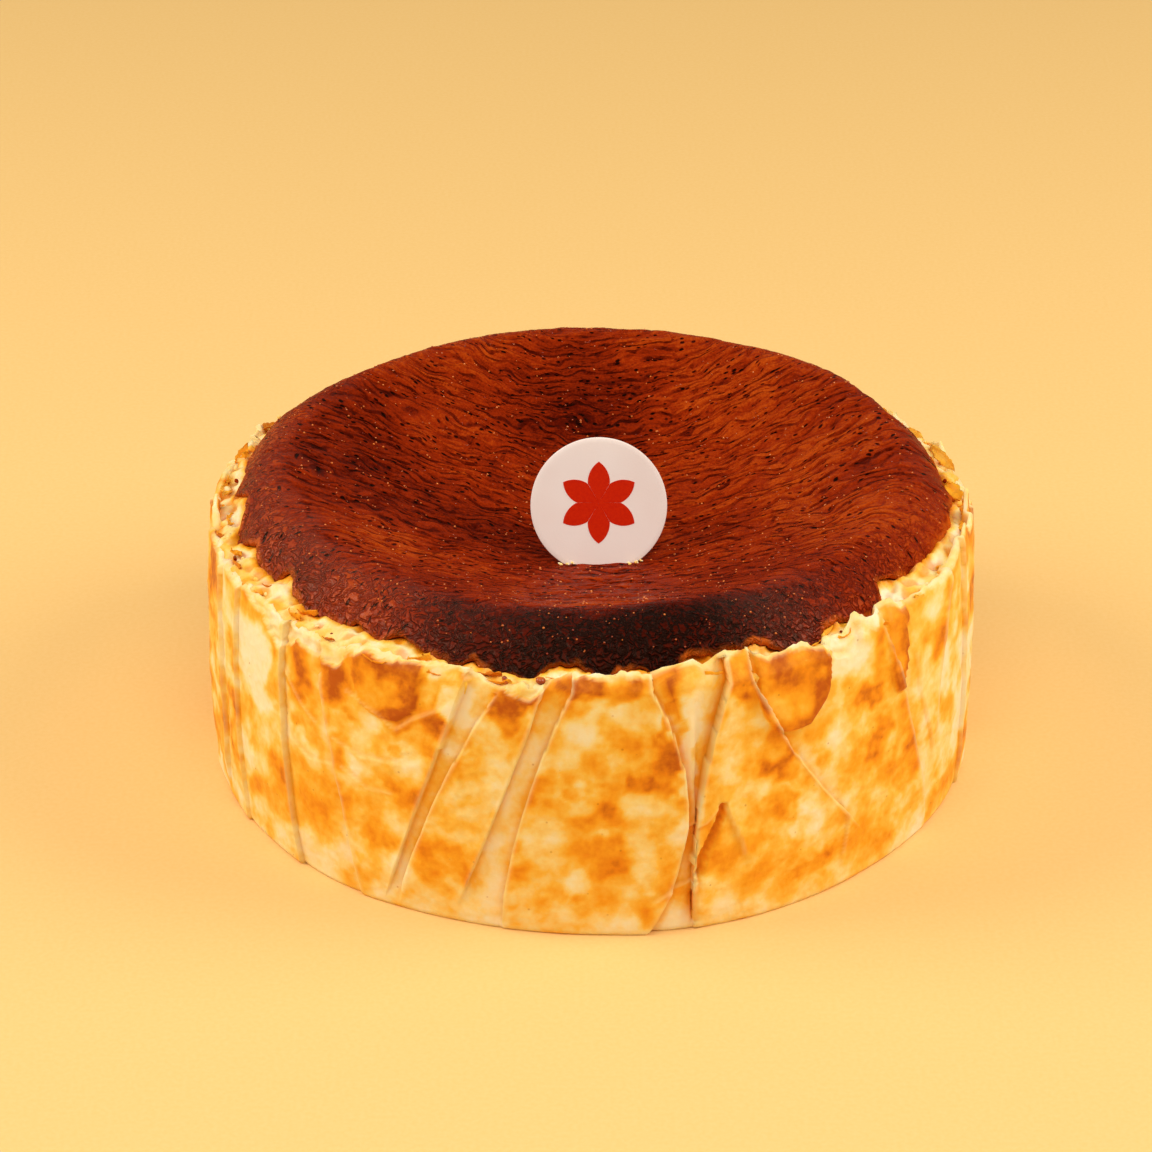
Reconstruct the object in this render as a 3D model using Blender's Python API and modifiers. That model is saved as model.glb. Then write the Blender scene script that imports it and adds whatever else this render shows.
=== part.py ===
"""A whole basque burnt cheesecake with a plain round topper card stood in its sunken top.

Metres, +Z up. The origin is the centre of the flat base. -Y is the front, and azimuths
run from the front towards +X. Run with: blender --background --python part.py
"""

import math

import bmesh
import bpy
import numpy as np
from mathutils import Vector

MM = 0.001

# Cake: the driving sizes
FOOT_RADIUS = 89.2 * MM
WALL_BULGE = 0.9 * MM
WALL_HEIGHT = 61.5 * MM
FRONT_SPREAD = 1.4 * MM
FOOT_ROUND = 0.8 * MM
CRUST_EDGE_RADIUS = 83.8 * MM
CRUST_EDGE_HEIGHT = 64.6 * MM
CREST_RADIUS = 72.0 * MM
CREST_HEIGHT = 70.6 * MM
CREST_ROUND = 2.6 * MM
BOWL_HEIGHT = 50.3 * MM
BOWL_POWER = 1.75

# Wall skin: the torn top edge of the browned side, and the channel behind it
SKIN_THICKNESS = 1.5 * MM
CHANNEL_WIDTH = 1.9 * MM
CHANNEL_DEPTH = 0.8 * MM
CRUST_OVERHANG = 0.9 * MM
CRUST_THICKNESS = 1.5 * MM

# Topper card
TOPPER_RADIUS = 15.9 * MM
TOPPER_THICKNESS = 1.2 * MM
TOPPER_BEVEL = 0.2 * MM
TOPPER_LEAN = math.radians(21.0)
TOPPER_CENTRE = Vector((2.0 * MM, -5.6 * MM, 63.8 * MM))
SLOT_GAP = 0.3 * MM

# Mesh density
COLUMN_SPACING = 3.9 * MM
CREASE_GAP = 0.35 * MM
TOPPER_SEGMENTS = 72
RANDOM_SEED = 11

# Folds that the baking paper pressed into the wall, seen at the front.
# (azimuth at the foot, azimuth at the top, sideways bow, lap, lowest share, highest share)
# Degrees and millimetres. A lap above 0 lays the left panel over the right one, and a lap
# below 0 the right panel over the left one. The shares are of the wall's height.
FRONT_FOLDS = (
    (-88.0, -88.0, 1.0, 1.0, 0.0, 1.0),
    (-79.0, -81.0, -1.0, -1.1, 0.0, 1.0),
    (-70.0, -72.0, 1.0, 0.9, 0.1, 1.0),
    (-62.0, -63.5, -1.0, 0.9, 0.0, 1.0),
    (-47.0, -50.0, -1.0, 1.2, 0.0, 1.0),
    (-34.5, -42.5, 0.0, -1.1, 0.0, 0.95),
    (-30.0, -14.0, 0.0, 1.3, 0.12, 0.97),
    (-28.0, -11.0, -1.0, -1.2, 0.10, 0.85),
    (-20.0, -6.0, 1.7, 1.2, 0.15, 1.0),
    (-12.5, -2.5, -2.6, -1.3, 0.05, 1.0),
    (8.0, 8.5, 5.4, 1.9, 0.0, 1.0),
    (14.2, 14.0, 0.7, 0.7, 0.42, 0.92),
    (14.9, 19.5, -1.3, -2.1, 0.05, 1.0),
    (51.0, 23.0, -1.2, 1.1, 0.30, 1.0),
    (60.0, 47.5, 0.5, 1.0, 0.05, 1.0),
    (63.0, 66.5, -3.5, 1.2, 0.40, 1.0),
    (74.0, 73.0, 1.0, -1.0, 0.0, 1.0),
    (80.0, 82.0, -1.0, 1.1, 0.0, 1.0),
    (88.5, 88.0, 0.5, -0.9, 0.0, 1.0),
)
REAR_FOLDS = 17

# Flaps of skin folded down over the wall: (azimuth, height, half width, half height, lift)
FLAPS = (
    (29.3, 60.0, 8.8, 12.5, 1.3),
    (50.6, 58.0, 4.0, 15.0, 1.0),
    (-30.0, 57.0, 9.0, 9.0, 0.7),
    (128.0, 58.0, 8.0, 11.0, 1.1),
    (214.0, 59.0, 7.0, 12.0, 1.0),
)

# Tear in the front folds: (azimuth, height) along it, from its blind end down
TEAR = ((18.8, 30.5), (16.6, 23.0), (15.6, 14.0))
TEAR_WIDTH = 1.6 * MM
TEAR_DEPTH = 1.3 * MM

# Shreds of skin that stand above the wall: (azimuth, half width in degrees, height)
SHREDS = (
    (-86.0, 4.5, 5.5),
    (-98.0, 5.0, 2.2),
    (-113.0, 3.5, 2.4),
    (83.0, 4.0, 6.5),
    (100.0, 6.0, 4.5),
    (22.0, 3.0, 3.6),
    (-1.0, 6.0, 0.9),
    (49.0, 3.0, 3.0),
    (-13.0, 3.0, 1.4),
    (146.0, 5.0, 3.5),
    (198.0, 4.0, 2.5),
    (230.0, 5.0, 1.4),
)

# Bays where the crust has torn back: (azimuth, half width in degrees, depth)
BAYS = (
    (60.0, 10.0, 5.5),
    (72.0, 5.0, 2.4),
    (-51.0, 27.0, 3.4),
    (-62.0, 6.0, 1.4),
    (-78.0, 3.5, 1.2),
    (-36.0, 3.5, 1.1),
    (8.0, 7.0, 0.8),
    (118.0, 9.0, 3.0),
    (170.0, 7.0, 2.5),
    (221.0, 10.0, 3.5),
)


def clear_scene():
    for old in list(bpy.data.objects):
        bpy.data.objects.remove(old, do_unlink=True)


def new_collection(name):
    collection = bpy.data.collections.new(name)
    bpy.context.scene.collection.children.link(collection)
    return collection


def material(name, colour, roughness):
    made = bpy.data.materials.new(name)
    made.use_nodes = True
    shader = made.node_tree.nodes["Principled BSDF"]
    shader.inputs["Base Color"].default_value = (*colour, 1.0)
    shader.inputs["Roughness"].default_value = roughness
    shader.inputs["Metallic"].default_value = 0.0
    return made


def smooth(low, high, x):
    """0 below low, 1 above high and an S-shaped rise between."""
    t = np.clip((x - low) / (high - low), 0.0, 1.0)
    return t * t * (3.0 - 2.0 * t)


def turned(degrees):
    """An angle in degrees brought to the half turn either side of 0."""
    return (degrees + 180.0) % 360.0 - 180.0


def waves(azimuth, counts, seed):
    """A wandering outline: one cosine for each count of waves round the cake, from -1 to 1."""
    phases = np.random.default_rng(seed).uniform(0.0, 2.0 * math.pi, len(counts))
    total = sum(
        math.sqrt(counts[0] / n) * np.cos(n * np.radians(azimuth) + p)
        for n, p in zip(counts, phases)
    )
    return total / math.sqrt(len(counts))


def all_folds():
    """Every fold in order round the cake: those at the front, then those that the photo hides."""
    draw = np.random.default_rng(RANDOM_SEED)
    first, last = FRONT_FOLDS[-1][1] + 4.0, FRONT_FOLDS[0][1] + 356.0
    pitch = (last - first) / REAR_FOLDS
    rear = []
    for i in range(REAR_FOLDS):
        middle = first + (i + 0.5) * pitch + draw.uniform(-0.2, 0.2) * pitch
        lean = 5.0 * math.sin(i * 1.1) + draw.uniform(-1.0, 1.0)
        side = 1.0 if draw.random() < 0.5 else -1.0
        lap = side * draw.uniform(0.8, 1.8)
        low = draw.choice((0.0, 0.0, 0.15))
        rear.append((middle - lean, middle + lean, draw.uniform(-1.0, 1.0), lap, low, 1.0))
    return list(FRONT_FOLDS) + rear


FOLDS = all_folds()


def crease(fold, share):
    """Azimuth of a fold's crease at a share of the wall's height."""
    foot, top, bow = fold[:3]
    return foot + (top - foot) * share + bow * 4.0 * share * (1.0 - share)


def fold_strength(fold, share):
    """How deep the fold is at a share of the wall's height: it dies out past its ends."""
    low, high = fold[4:]
    rise = smooth(low - 0.10, low + 0.08, share) if low > 0.0 else 0.75 + 0.25 * share
    fall = 1.0 - smooth(high, high + 0.12, share) if high < 1.0 else 1.0
    return rise * fall


def fold_relief(azimuth, share):
    """Radial height of the laps at points of the wall, in metres."""
    relief = np.zeros(np.broadcast(azimuth, share).shape)
    for fold in FOLDS:
        away = np.radians(turned(azimuth - crease(fold, share))) * FOOT_RADIUS
        lap = fold[3] * MM
        over = np.where(away * lap < 0.0, 1.0, 0.0)
        run = np.abs(away)
        raised = 0.62 * np.exp(-((run / (7.0 * MM)) ** 1.4))
        tucked = -0.55 * np.exp(-run / (3.0 * MM))
        relief += abs(lap) * fold_strength(fold, share) * (over * raised + (1.0 - over) * tucked)
    return relief


def flap_relief(azimuth, height):
    """Radial height of the skin flaps folded down over the wall."""
    relief = np.zeros(np.broadcast(azimuth, height).shape)
    for middle, level, half_width, half_height, lift in FLAPS:
        across = np.radians(turned(azimuth - middle)) * FOOT_RADIUS / (half_width * MM)
        up = (height - level * MM) / (half_height * MM)
        inside = 1.0 - smooth(0.70, 1.10, np.hypot(across, np.minimum(up, 0.0)))
        relief += lift * MM * inside
    return relief


def tear_relief(azimuth, height):
    """The cut where the front folds have torn apart."""
    along = np.radians(turned(azimuth)) * FOOT_RADIUS
    nearest = np.full(np.broadcast(azimuth, height).shape, 1.0)
    for (a0, z0), (a1, z1) in zip(TEAR, TEAR[1:]):
        start = np.array((math.radians(a0) * FOOT_RADIUS, z0 * MM))
        run = np.array((math.radians(a1) * FOOT_RADIUS, z1 * MM)) - start
        t = np.clip(
            ((along - start[0]) * run[0] + (height - start[1]) * run[1]) / (run @ run), 0.0, 1.0
        )
        gap = np.hypot(along - start[0] - t * run[0], height - start[1] - t * run[1])
        nearest = np.minimum(nearest, gap)
    return -TEAR_DEPTH * (1.0 - smooth(0.3 * TEAR_WIDTH, 1.6 * TEAR_WIDTH, nearest))


def wall_radius(azimuth, height):
    """Distance of the wall from the cake's axis, folds and all."""
    share = np.clip(height / WALL_HEIGHT, 0.0, 1.0)
    plain = FOOT_RADIUS + WALL_BULGE * np.sin(math.pi * share**0.8)
    plain = plain - 0.5 * MM * smooth(0.80, 1.1, share)
    spread = np.exp(-((turned(azimuth - 14.0) / 32.0) ** 2)) * (1.0 - 0.6 * share)
    plain = plain + FRONT_SPREAD * spread
    wander = 0.45 * MM * waves(azimuth, (2, 3, 5, 7, 11), 3)
    relief = fold_relief(azimuth, share) + flap_relief(azimuth, height)
    return plain + wander + relief + tear_relief(azimuth, height)


def skin_top(azimuth):
    """Height of the wall skin's torn upper edge."""
    top = WALL_HEIGHT + 0.7 * MM * waves(azimuth, (9, 17, 31, 47), 5)
    top = top - 2.6 * MM * np.exp(-((turned(azimuth + 45.0) / 13.0) ** 2))
    for middle, half_width, height in SHREDS:
        rise = np.clip(1.0 - np.abs(turned(azimuth - middle)) / half_width, 0.0, 1.0)
        top = top + height * MM * rise**0.7
    return top


def crust_edge(azimuth):
    """Radius of the crust's ragged edge."""
    edge = CRUST_EDGE_RADIUS + 0.8 * MM * waves(azimuth, (7, 13, 23, 37, 53), 8)
    edge = edge + 0.9 * MM * np.sin(np.radians(azimuth))
    for middle, half_width, depth in BAYS:
        into = np.abs(turned(azimuth - middle)) / half_width
        edge = edge - depth * MM * (1.0 - smooth(0.35, 1.0, into))
    return edge


def crest_place(azimuth):
    """(radius, height) of the crust's highest line: wider and higher towards the back."""
    back = -np.cos(np.radians(azimuth))
    bulge = np.exp(-((turned(azimuth - 128.0) / 26.0) ** 2))
    radius = CREST_RADIUS + 4.0 * MM * back + 2.5 * MM * bulge
    height = CREST_HEIGHT + 0.8 * MM * back + 0.3 * MM * waves(azimuth, (3, 4, 7), 13)
    return radius, height


def top_height(azimuth, radius):
    """Height of the crust over the sunken bowl, the crest and the dome outside it."""
    crest_radius, crest = crest_place(azimuth)
    into = np.clip(radius / crest_radius, 0.0, 1.0)
    drop = (crest + CREST_ROUND - BOWL_HEIGHT) * (1.0 - into**BOWL_POWER)
    bowl = crest + CREST_ROUND - np.hypot(drop, CREST_ROUND)
    past = (radius - crest_radius) / (crust_edge(azimuth) - crest_radius)
    past = np.clip(past, 0.0, 1.2) * 0.82
    fall = (1.0 - np.sqrt(1.0 - past**2)) / (1.0 - math.sqrt(1.0 - 0.82**2))
    edge_height = CRUST_EDGE_HEIGHT + 0.35 * MM * waves(azimuth, (5, 11, 19), 21)
    dome = crest - (crest - edge_height) * fall
    return np.where(radius < crest_radius, bowl, dome)


# Rings of the turned profile, from the top's centre down the outside to the base's centre
TOP_RINGS = (0.0, 0.20, 0.40, 0.56, 0.70, 0.82, 0.92, 1.0)
DOME_RINGS = (0.30, 0.58, 0.80, 0.95)
WALL_RINGS = (1.0, 0.90, 0.79, 0.68, 0.57, 0.46, 0.35, 0.24, 0.12, 0.026)


def profile_rings():
    """(part, share) for each ring of the profile."""
    rings = [("bowl", s) for s in TOP_RINGS] + [("dome", s) for s in DOME_RINGS]
    rings += [("crust_edge", 0.0), ("crust_under", 0.0), ("shoulder", 0.0), ("channel", 0.0)]
    rings += [("skin_inside", 0.0), ("skin_top", 0.0)]
    rings += [("wall", s) for s in WALL_RINGS]
    return rings + [("base", 1.0), ("base", 0.0)]


def ring_place(part, share, azimuth):
    """(radius, height) of one ring of the profile at each azimuth."""
    azimuth = np.asarray(azimuth, float)
    edge = crust_edge(azimuth)
    edge_height = top_height(azimuth, edge)
    skin = skin_top(azimuth)
    skin_radius = wall_radius(azimuth, np.minimum(skin, WALL_HEIGHT))
    channel_radius = skin_radius - SKIN_THICKNESS - 0.5 * CHANNEL_WIDTH
    channel_radius = np.maximum(channel_radius, edge + 1.6 * MM)
    channel_height = np.minimum(skin, WALL_HEIGHT) - CHANNEL_DEPTH
    if part == "bowl":
        radius = share * crest_place(azimuth)[0]
        return radius, top_height(azimuth, radius)
    if part == "dome":
        radius = crest_place(azimuth)[0]
        radius = radius + share * (edge - radius)
        return radius, top_height(azimuth, radius)
    if part == "crust_edge":
        return edge + 0.6 * CRUST_OVERHANG, edge_height - 0.5 * CRUST_THICKNESS
    if part == "crust_under":
        return edge, edge_height - CRUST_THICKNESS
    if part == "shoulder":
        between = 0.5 * (edge + channel_radius)
        return between, 0.5 * (edge_height - CRUST_THICKNESS + channel_height) + 0.3 * MM
    if part == "channel":
        return channel_radius, channel_height
    if part == "skin_inside":
        thin = smooth(WALL_HEIGHT + 1.0 * MM, WALL_HEIGHT + 4.0 * MM, skin)
        inside = np.maximum(skin_radius - SKIN_THICKNESS * (1.0 - 0.35 * thin), edge + 2.4 * MM)
        return inside, skin - 0.5 * MM
    if part == "skin_top":
        return skin_radius - 0.45 * SKIN_THICKNESS, skin
    if part == "wall":
        height = share * (np.minimum(skin, WALL_HEIGHT + 1.0 * MM) - 0.6 * MM)
        return wall_radius(azimuth, height), height
    foot = wall_radius(azimuth, np.full_like(azimuth, 0.0)) - FOOT_ROUND
    return share * foot, np.zeros_like(azimuth)


def column_plan():
    """(fold index, share of the way to the next fold) for each column of the mesh."""
    plan = []
    for i, fold in enumerate(FOLDS):
        after = FOLDS[(i + 1) % len(FOLDS)]
        middle = crease(after, 0.5) - crease(fold, 0.5)
        width = math.radians(middle % 360.0) * FOOT_RADIUS
        inner = max(1, round(width / COLUMN_SPACING) - 1)
        side = min(0.25, CREASE_GAP / width)
        shares = [side + (1.0 - 2.0 * side) * k / (inner + 1) for k in range(inner + 2)]
        plan += [(i, s) for s in shares]
    return plan


def column_azimuth(plan, height):
    """Azimuth of every column at a height: on the wall the columns follow the creases."""
    share = min(1.0, max(0.0, height / WALL_HEIGHT))
    creases = [crease(fold, share) for fold in FOLDS]
    creases.append(creases[0] + 360.0)
    return np.array([creases[i] + s * (creases[i + 1] - creases[i]) for i, s in plan])


def object_from_mesh(name, mesh, collection):
    made = bpy.data.objects.new(name, mesh)
    collection.objects.link(made)
    return made


def applied(obj, collection):
    """The object with its modifiers made part of its mesh."""
    bpy.context.view_layer.update()
    graph = bpy.context.evaluated_depsgraph_get()
    mesh = bpy.data.meshes.new_from_object(obj.evaluated_get(graph))
    name = obj.name
    bpy.data.objects.remove(obj, do_unlink=True)
    return object_from_mesh(name, mesh, collection)


def turned_cake(collection, rings, columns):
    """The cake before its folds: one profile turned about Z."""
    mesh = bpy.data.meshes.new("cheesecake")
    points = []
    for part, share in rings:
        radius, height = neutral(part, share)
        points.append((radius, 0.0, height))
    mesh.from_pydata(points, [(i, i + 1) for i in range(len(points) - 1)], [])
    cake = object_from_mesh("cheesecake", mesh, collection)
    screw = cake.modifiers.new("turn", "SCREW")
    screw.axis = "Z"
    screw.angle = 2.0 * math.pi
    screw.steps = columns
    screw.render_steps = columns
    screw.use_merge_vertices = True
    screw.merge_threshold = 0.01 * MM
    return applied(cake, collection)


def neutral(part, share):
    """(radius, height) of a ring averaged round the cake, so that the turned profile is round."""
    radius, height = ring_place(part, share, np.arange(0.0, 360.0, 5.0))
    return float(radius.mean()), float(height.mean())


def shape_cake(cake, rings, plan):
    """Moves each point of the turned cake to its place on the folded wall or ragged crust."""
    columns = len(plan)
    spots = np.array([neutral(part, share) for part, share in rings])
    points = np.array([v.co for v in cake.data.vertices])
    radius = np.hypot(points[:, 0], points[:, 1])
    column = np.round(np.arctan2(points[:, 1], points[:, 0]) / (2.0 * math.pi) * columns)
    column = column.astype(int) % columns
    apart = np.hypot(radius[:, None] - spots[:, 0], points[:, 2][:, None] - spots[:, 1])
    ring = apart.argmin(axis=1)
    even = column_azimuth(plan, WALL_HEIGHT)[0] + 360.0 * np.arange(columns) / columns
    for index, (part, share) in enumerate(rings):
        level = spots[index][1]
        azimuth = column_azimuth(plan, level)
        if part in ("bowl", "dome"):
            follow = smooth(0.55, 1.0, spots[index][0] / CRUST_EDGE_RADIUS)
            azimuth = even + follow * turned(azimuth - even)
        place_radius, place_height = ring_place(part, share, azimuth)
        for v in np.nonzero(ring == index)[0]:
            a = math.radians(azimuth[column[v]])
            r = place_radius[column[v]]
            cake.data.vertices[int(v)].co = (r * math.sin(a), -r * math.cos(a), place_height[column[v]])
    cake.data.update()


def paint_cake(cake, wall, crust):
    """Two finishes on the one solid: the crust down to its edge, and the wall below it."""
    cake.data.materials.append(wall)
    cake.data.materials.append(crust)
    for face in cake.data.polygons:
        x, y, z = face.center
        azimuth = math.degrees(math.atan2(x, -y))
        on_top = face.normal.z > 0.1 and math.hypot(x, y) < float(crust_edge(azimuth))
        face.material_index = 1 if on_top else 0
        face.use_smooth = True
    cake.data.set_sharp_from_angle(angle=math.radians(35.0))


def topper_shape(name, radius, thickness, collection):
    """A round card standing on its edge, leaning back, its face to the front."""
    made = bmesh.new()
    bmesh.ops.create_cone(
        made,
        cap_ends=True,
        segments=TOPPER_SEGMENTS,
        radius1=radius,
        radius2=radius,
        depth=thickness,
    )
    mesh = bpy.data.meshes.new(name)
    made.to_mesh(mesh)
    made.free()
    card = object_from_mesh(name, mesh, collection)
    card.rotation_euler = (math.pi / 2.0 - TOPPER_LEAN, 0.0, 0.0)
    card.location = TOPPER_CENTRE
    return card


def cut_slot(cake, cutter):
    cut = cake.modifiers.new("topper_slot", "BOOLEAN")
    cut.operation = "DIFFERENCE"
    cut.solver = "EXACT"
    cut.object = cutter


def main():
    clear_scene()
    parts = new_collection("Basque burnt cheesecake")
    cutters = new_collection("Cutters")
    wall = material("golden_side", (0.90, 0.60, 0.24), 0.55)
    crust = material("burnt_crust", (0.16, 0.035, 0.010), 0.45)
    card = material("topper_card", (0.85, 0.80, 0.76), 0.60)

    rings = profile_rings()
    plan = column_plan()
    cake = turned_cake(parts, rings, len(plan))
    shape_cake(cake, rings, plan)
    paint_cake(cake, wall, crust)

    topper = topper_shape("topper", TOPPER_RADIUS, TOPPER_THICKNESS, parts)
    topper.data.materials.append(card)
    edge = topper.modifiers.new("edge", "BEVEL")
    edge.width = TOPPER_BEVEL
    edge.segments = 1
    edge.limit_method = "ANGLE"

    slot = topper_shape(
        "slot_cutter", TOPPER_RADIUS + SLOT_GAP, TOPPER_THICKNESS + 2.0 * SLOT_GAP, cutters
    )
    slot.hide_render = True
    slot.display_type = "WIRE"
    cut_slot(cake, slot)


main()
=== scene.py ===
"""Looks of a whole basque burnt cheesecake with a round card stood in its sunken top.

Metres, +Z up, the origin at the centre of the base. -Y is the front, and azimuths run in
degrees from the front towards +X.
"""

import math

import bmesh
import bpy
import numpy as np
from mathutils import Matrix, Vector
from mathutils import noise


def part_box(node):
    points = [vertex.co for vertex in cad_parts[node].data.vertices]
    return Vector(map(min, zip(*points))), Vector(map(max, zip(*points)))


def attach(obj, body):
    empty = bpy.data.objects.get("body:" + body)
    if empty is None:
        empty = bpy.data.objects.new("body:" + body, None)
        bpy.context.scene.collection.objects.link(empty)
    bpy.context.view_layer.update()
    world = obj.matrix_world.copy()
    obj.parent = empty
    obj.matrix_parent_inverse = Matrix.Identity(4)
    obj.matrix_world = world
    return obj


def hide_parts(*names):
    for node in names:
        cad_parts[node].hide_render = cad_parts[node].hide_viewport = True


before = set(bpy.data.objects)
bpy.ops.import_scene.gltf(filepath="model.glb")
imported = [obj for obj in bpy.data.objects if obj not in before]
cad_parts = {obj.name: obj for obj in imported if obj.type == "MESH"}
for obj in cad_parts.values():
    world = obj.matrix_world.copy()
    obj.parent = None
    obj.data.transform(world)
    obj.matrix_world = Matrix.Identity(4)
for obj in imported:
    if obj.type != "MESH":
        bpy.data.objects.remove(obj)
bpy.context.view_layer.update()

MM = 0.001

# Cake: the same driving sizes as its solid
FOOT_RADIUS = 89.2 * MM
WALL_BULGE = 0.9 * MM
WALL_HEIGHT = 61.5 * MM
FRONT_SPREAD = 1.4 * MM
FOOT_ROUND = 0.8 * MM
CRUST_EDGE_RADIUS = 83.8 * MM
CRUST_EDGE_HEIGHT = 64.6 * MM
CREST_RADIUS = 72.0 * MM
CREST_HEIGHT = 70.6 * MM
CREST_ROUND = 2.6 * MM
BOWL_HEIGHT = 50.3 * MM
BOWL_POWER = 1.75
DOME_REACH = 0.82
SKIN_THICKNESS = 1.5 * MM
CRUST_THICKNESS = 1.5 * MM
CRUST_OVERHANG = 0.9 * MM

# Mesh density: the wall's columns lie closer within this azimuth of the front
FINE_MESH_TO = 92.0
CRUST_RINGS = 146
WALL_ROWS = 112
FIRST_ROW = 0.016
COLUMN_SPACING = 0.56 * MM
REAR_SPACING = 1.1 * MM
CREASE_GAP = 0.11 * MM
SHOULDER_COLUMNS = 1240
SHOULDER_ROWS = 30
CARD_SEGMENTS = 180
WELD_GAP = 0.0005 * MM

# Folds that the baking paper pressed into the wall, at the front.
# (azimuth at the foot, azimuth at the top, sideways bow, lap in mm, lowest share, highest share)
FRONT_FOLDS = (
    (-88.0, -88.0, 1.0, 1.0, 0.0, 1.0),
    (-79.0, -81.0, -1.0, -1.1, 0.0, 1.0),
    (-70.0, -72.0, 1.0, 0.9, 0.1, 1.0),
    (-62.0, -63.5, -1.0, 0.9, 0.0, 1.0),
    (-47.0, -50.0, -1.0, 1.2, 0.0, 1.0),
    (-34.5, -42.5, 0.0, -1.1, 0.0, 0.95),
    (-31.0, -17.5, 0.0, 1.3, 0.12, 0.97),
    (-28.5, -12.5, -1.6, -1.2, 0.10, 0.90),
    (-20.0, -6.5, 0.4, 1.2, 0.15, 1.0),
    (-12.5, -2.5, -1.8, -1.3, 0.05, 1.0),
    (8.0, 8.5, 5.4, 1.9, 0.0, 1.0),
    (14.2, 14.0, 0.7, 0.7, 0.42, 0.92),
    (14.9, 19.5, -2.0, -2.4, 0.05, 1.0),
    (51.0, 23.0, -3.0, 1.2, 0.30, 1.0),
    (60.0, 47.5, 0.5, 1.0, 0.05, 1.0),
    (63.0, 66.5, -3.5, 1.2, 0.40, 1.0),
    (74.0, 73.0, 1.0, -1.0, 0.0, 1.0),
    (80.0, 82.0, -1.0, 1.1, 0.0, 1.0),
    (88.5, 88.0, 0.5, -0.9, 0.0, 1.0),
)

# Folds where the photo doesn't show the wall: how many, and the seed of their places
REAR_FOLDS = 17
REAR_FOLD_SEED = 11

# Azimuths either side of the front where what the photo shows gives way to rules
SHOWN_TO = (96.0, 104.0)

# Flaps of skin folded down over the wall: (azimuth, height, half width, half height, lift) in mm
FLAPS = (
    (30.0, 59.0, 10.3, 13.9, 1.8),
    (50.6, 58.0, 4.0, 15.0, 1.0),
    (-30.0, 57.0, 9.0, 9.0, 0.7),
    (128.0, 58.0, 8.0, 11.0, 1.1),
    (214.0, 59.0, 7.0, 12.0, 1.0),
)

# Depth of the step down from the skin to the torn curd
SKIN_STEP = 0.8 * MM

# Shreds of skin that stand above the wall: (azimuth, half width in degrees, height in mm)
SHREDS = (
    (-113.0, 3.5, 2.4),
    (108.0, 4.0, 2.5),
    (146.0, 5.0, 3.5),
    (198.0, 4.0, 2.5),
    (230.0, 5.0, 1.4),
)

# Bays where the crust has torn back: (azimuth, half width in degrees, depth in mm)
BAYS = (
    (60.0, 10.0, 5.5),
    (72.0, 5.0, 2.4),
    (-51.0, 27.0, 3.4),
    (-62.0, 6.0, 1.4),
    (-78.0, 3.5, 1.2),
    (-36.0, 3.5, 1.1),
    (8.0, 7.0, 0.8),
    (118.0, 9.0, 3.0),
    (170.0, 7.0, 2.5),
    (221.0, 10.0, 3.5),
)

# Torn edge of the crust as the photo shows it: (azimuth, radius in mm)
CRUST_TEARS = (
    (-100, 82.0), (-96, 81.2), (-94, 80.4), (-91, 82.2), (-89, 82.5), (-86, 81.0), (-84, 79.4),
    (-80, 80.4), (-77, 83.0), (-74, 83.6), (-72, 81.2), (-70, 80.6), (-66, 82.0), (-61, 81.8),
    (-59, 79.0), (-57, 79.4), (-54, 81.6), (-48, 82.9), (-44, 81.5), (-40, 80.1), (-37, 81.6),
    (-34, 82.6), (-32, 80.9), (-30, 80.4), (-27, 82.6), (-23, 83.6), (-20, 84.4), (-18, 83.4),
    (-14, 84.6), (-12, 84.0), (-8, 84.8), (-6, 82.4), (-2, 82.1), (0, 83.1), (2, 85.1),
    (4, 83.5), (8, 82.9), (10, 84.3), (12, 84.8), (14, 82.0), (16, 81.3), (20, 82.0),
    (22, 81.5), (24, 82.3), (26, 81.2), (28, 82.8), (31, 85.3), (34, 84.6), (36, 84.5),
    (38, 83.0), (41, 82.2), (44, 83.6), (48, 84.0), (50.5, 84.4), (52, 82.4), (54, 79.1),
    (56, 78.2), (58, 78.9), (62, 80.4), (66, 80.9), (72, 82.0), (76, 83.1), (80, 83.9),
    (83, 83.2), (86, 83.4), (90, 84.8), (94, 86.0), (97, 84.0), (100, 83.2),
)

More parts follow.
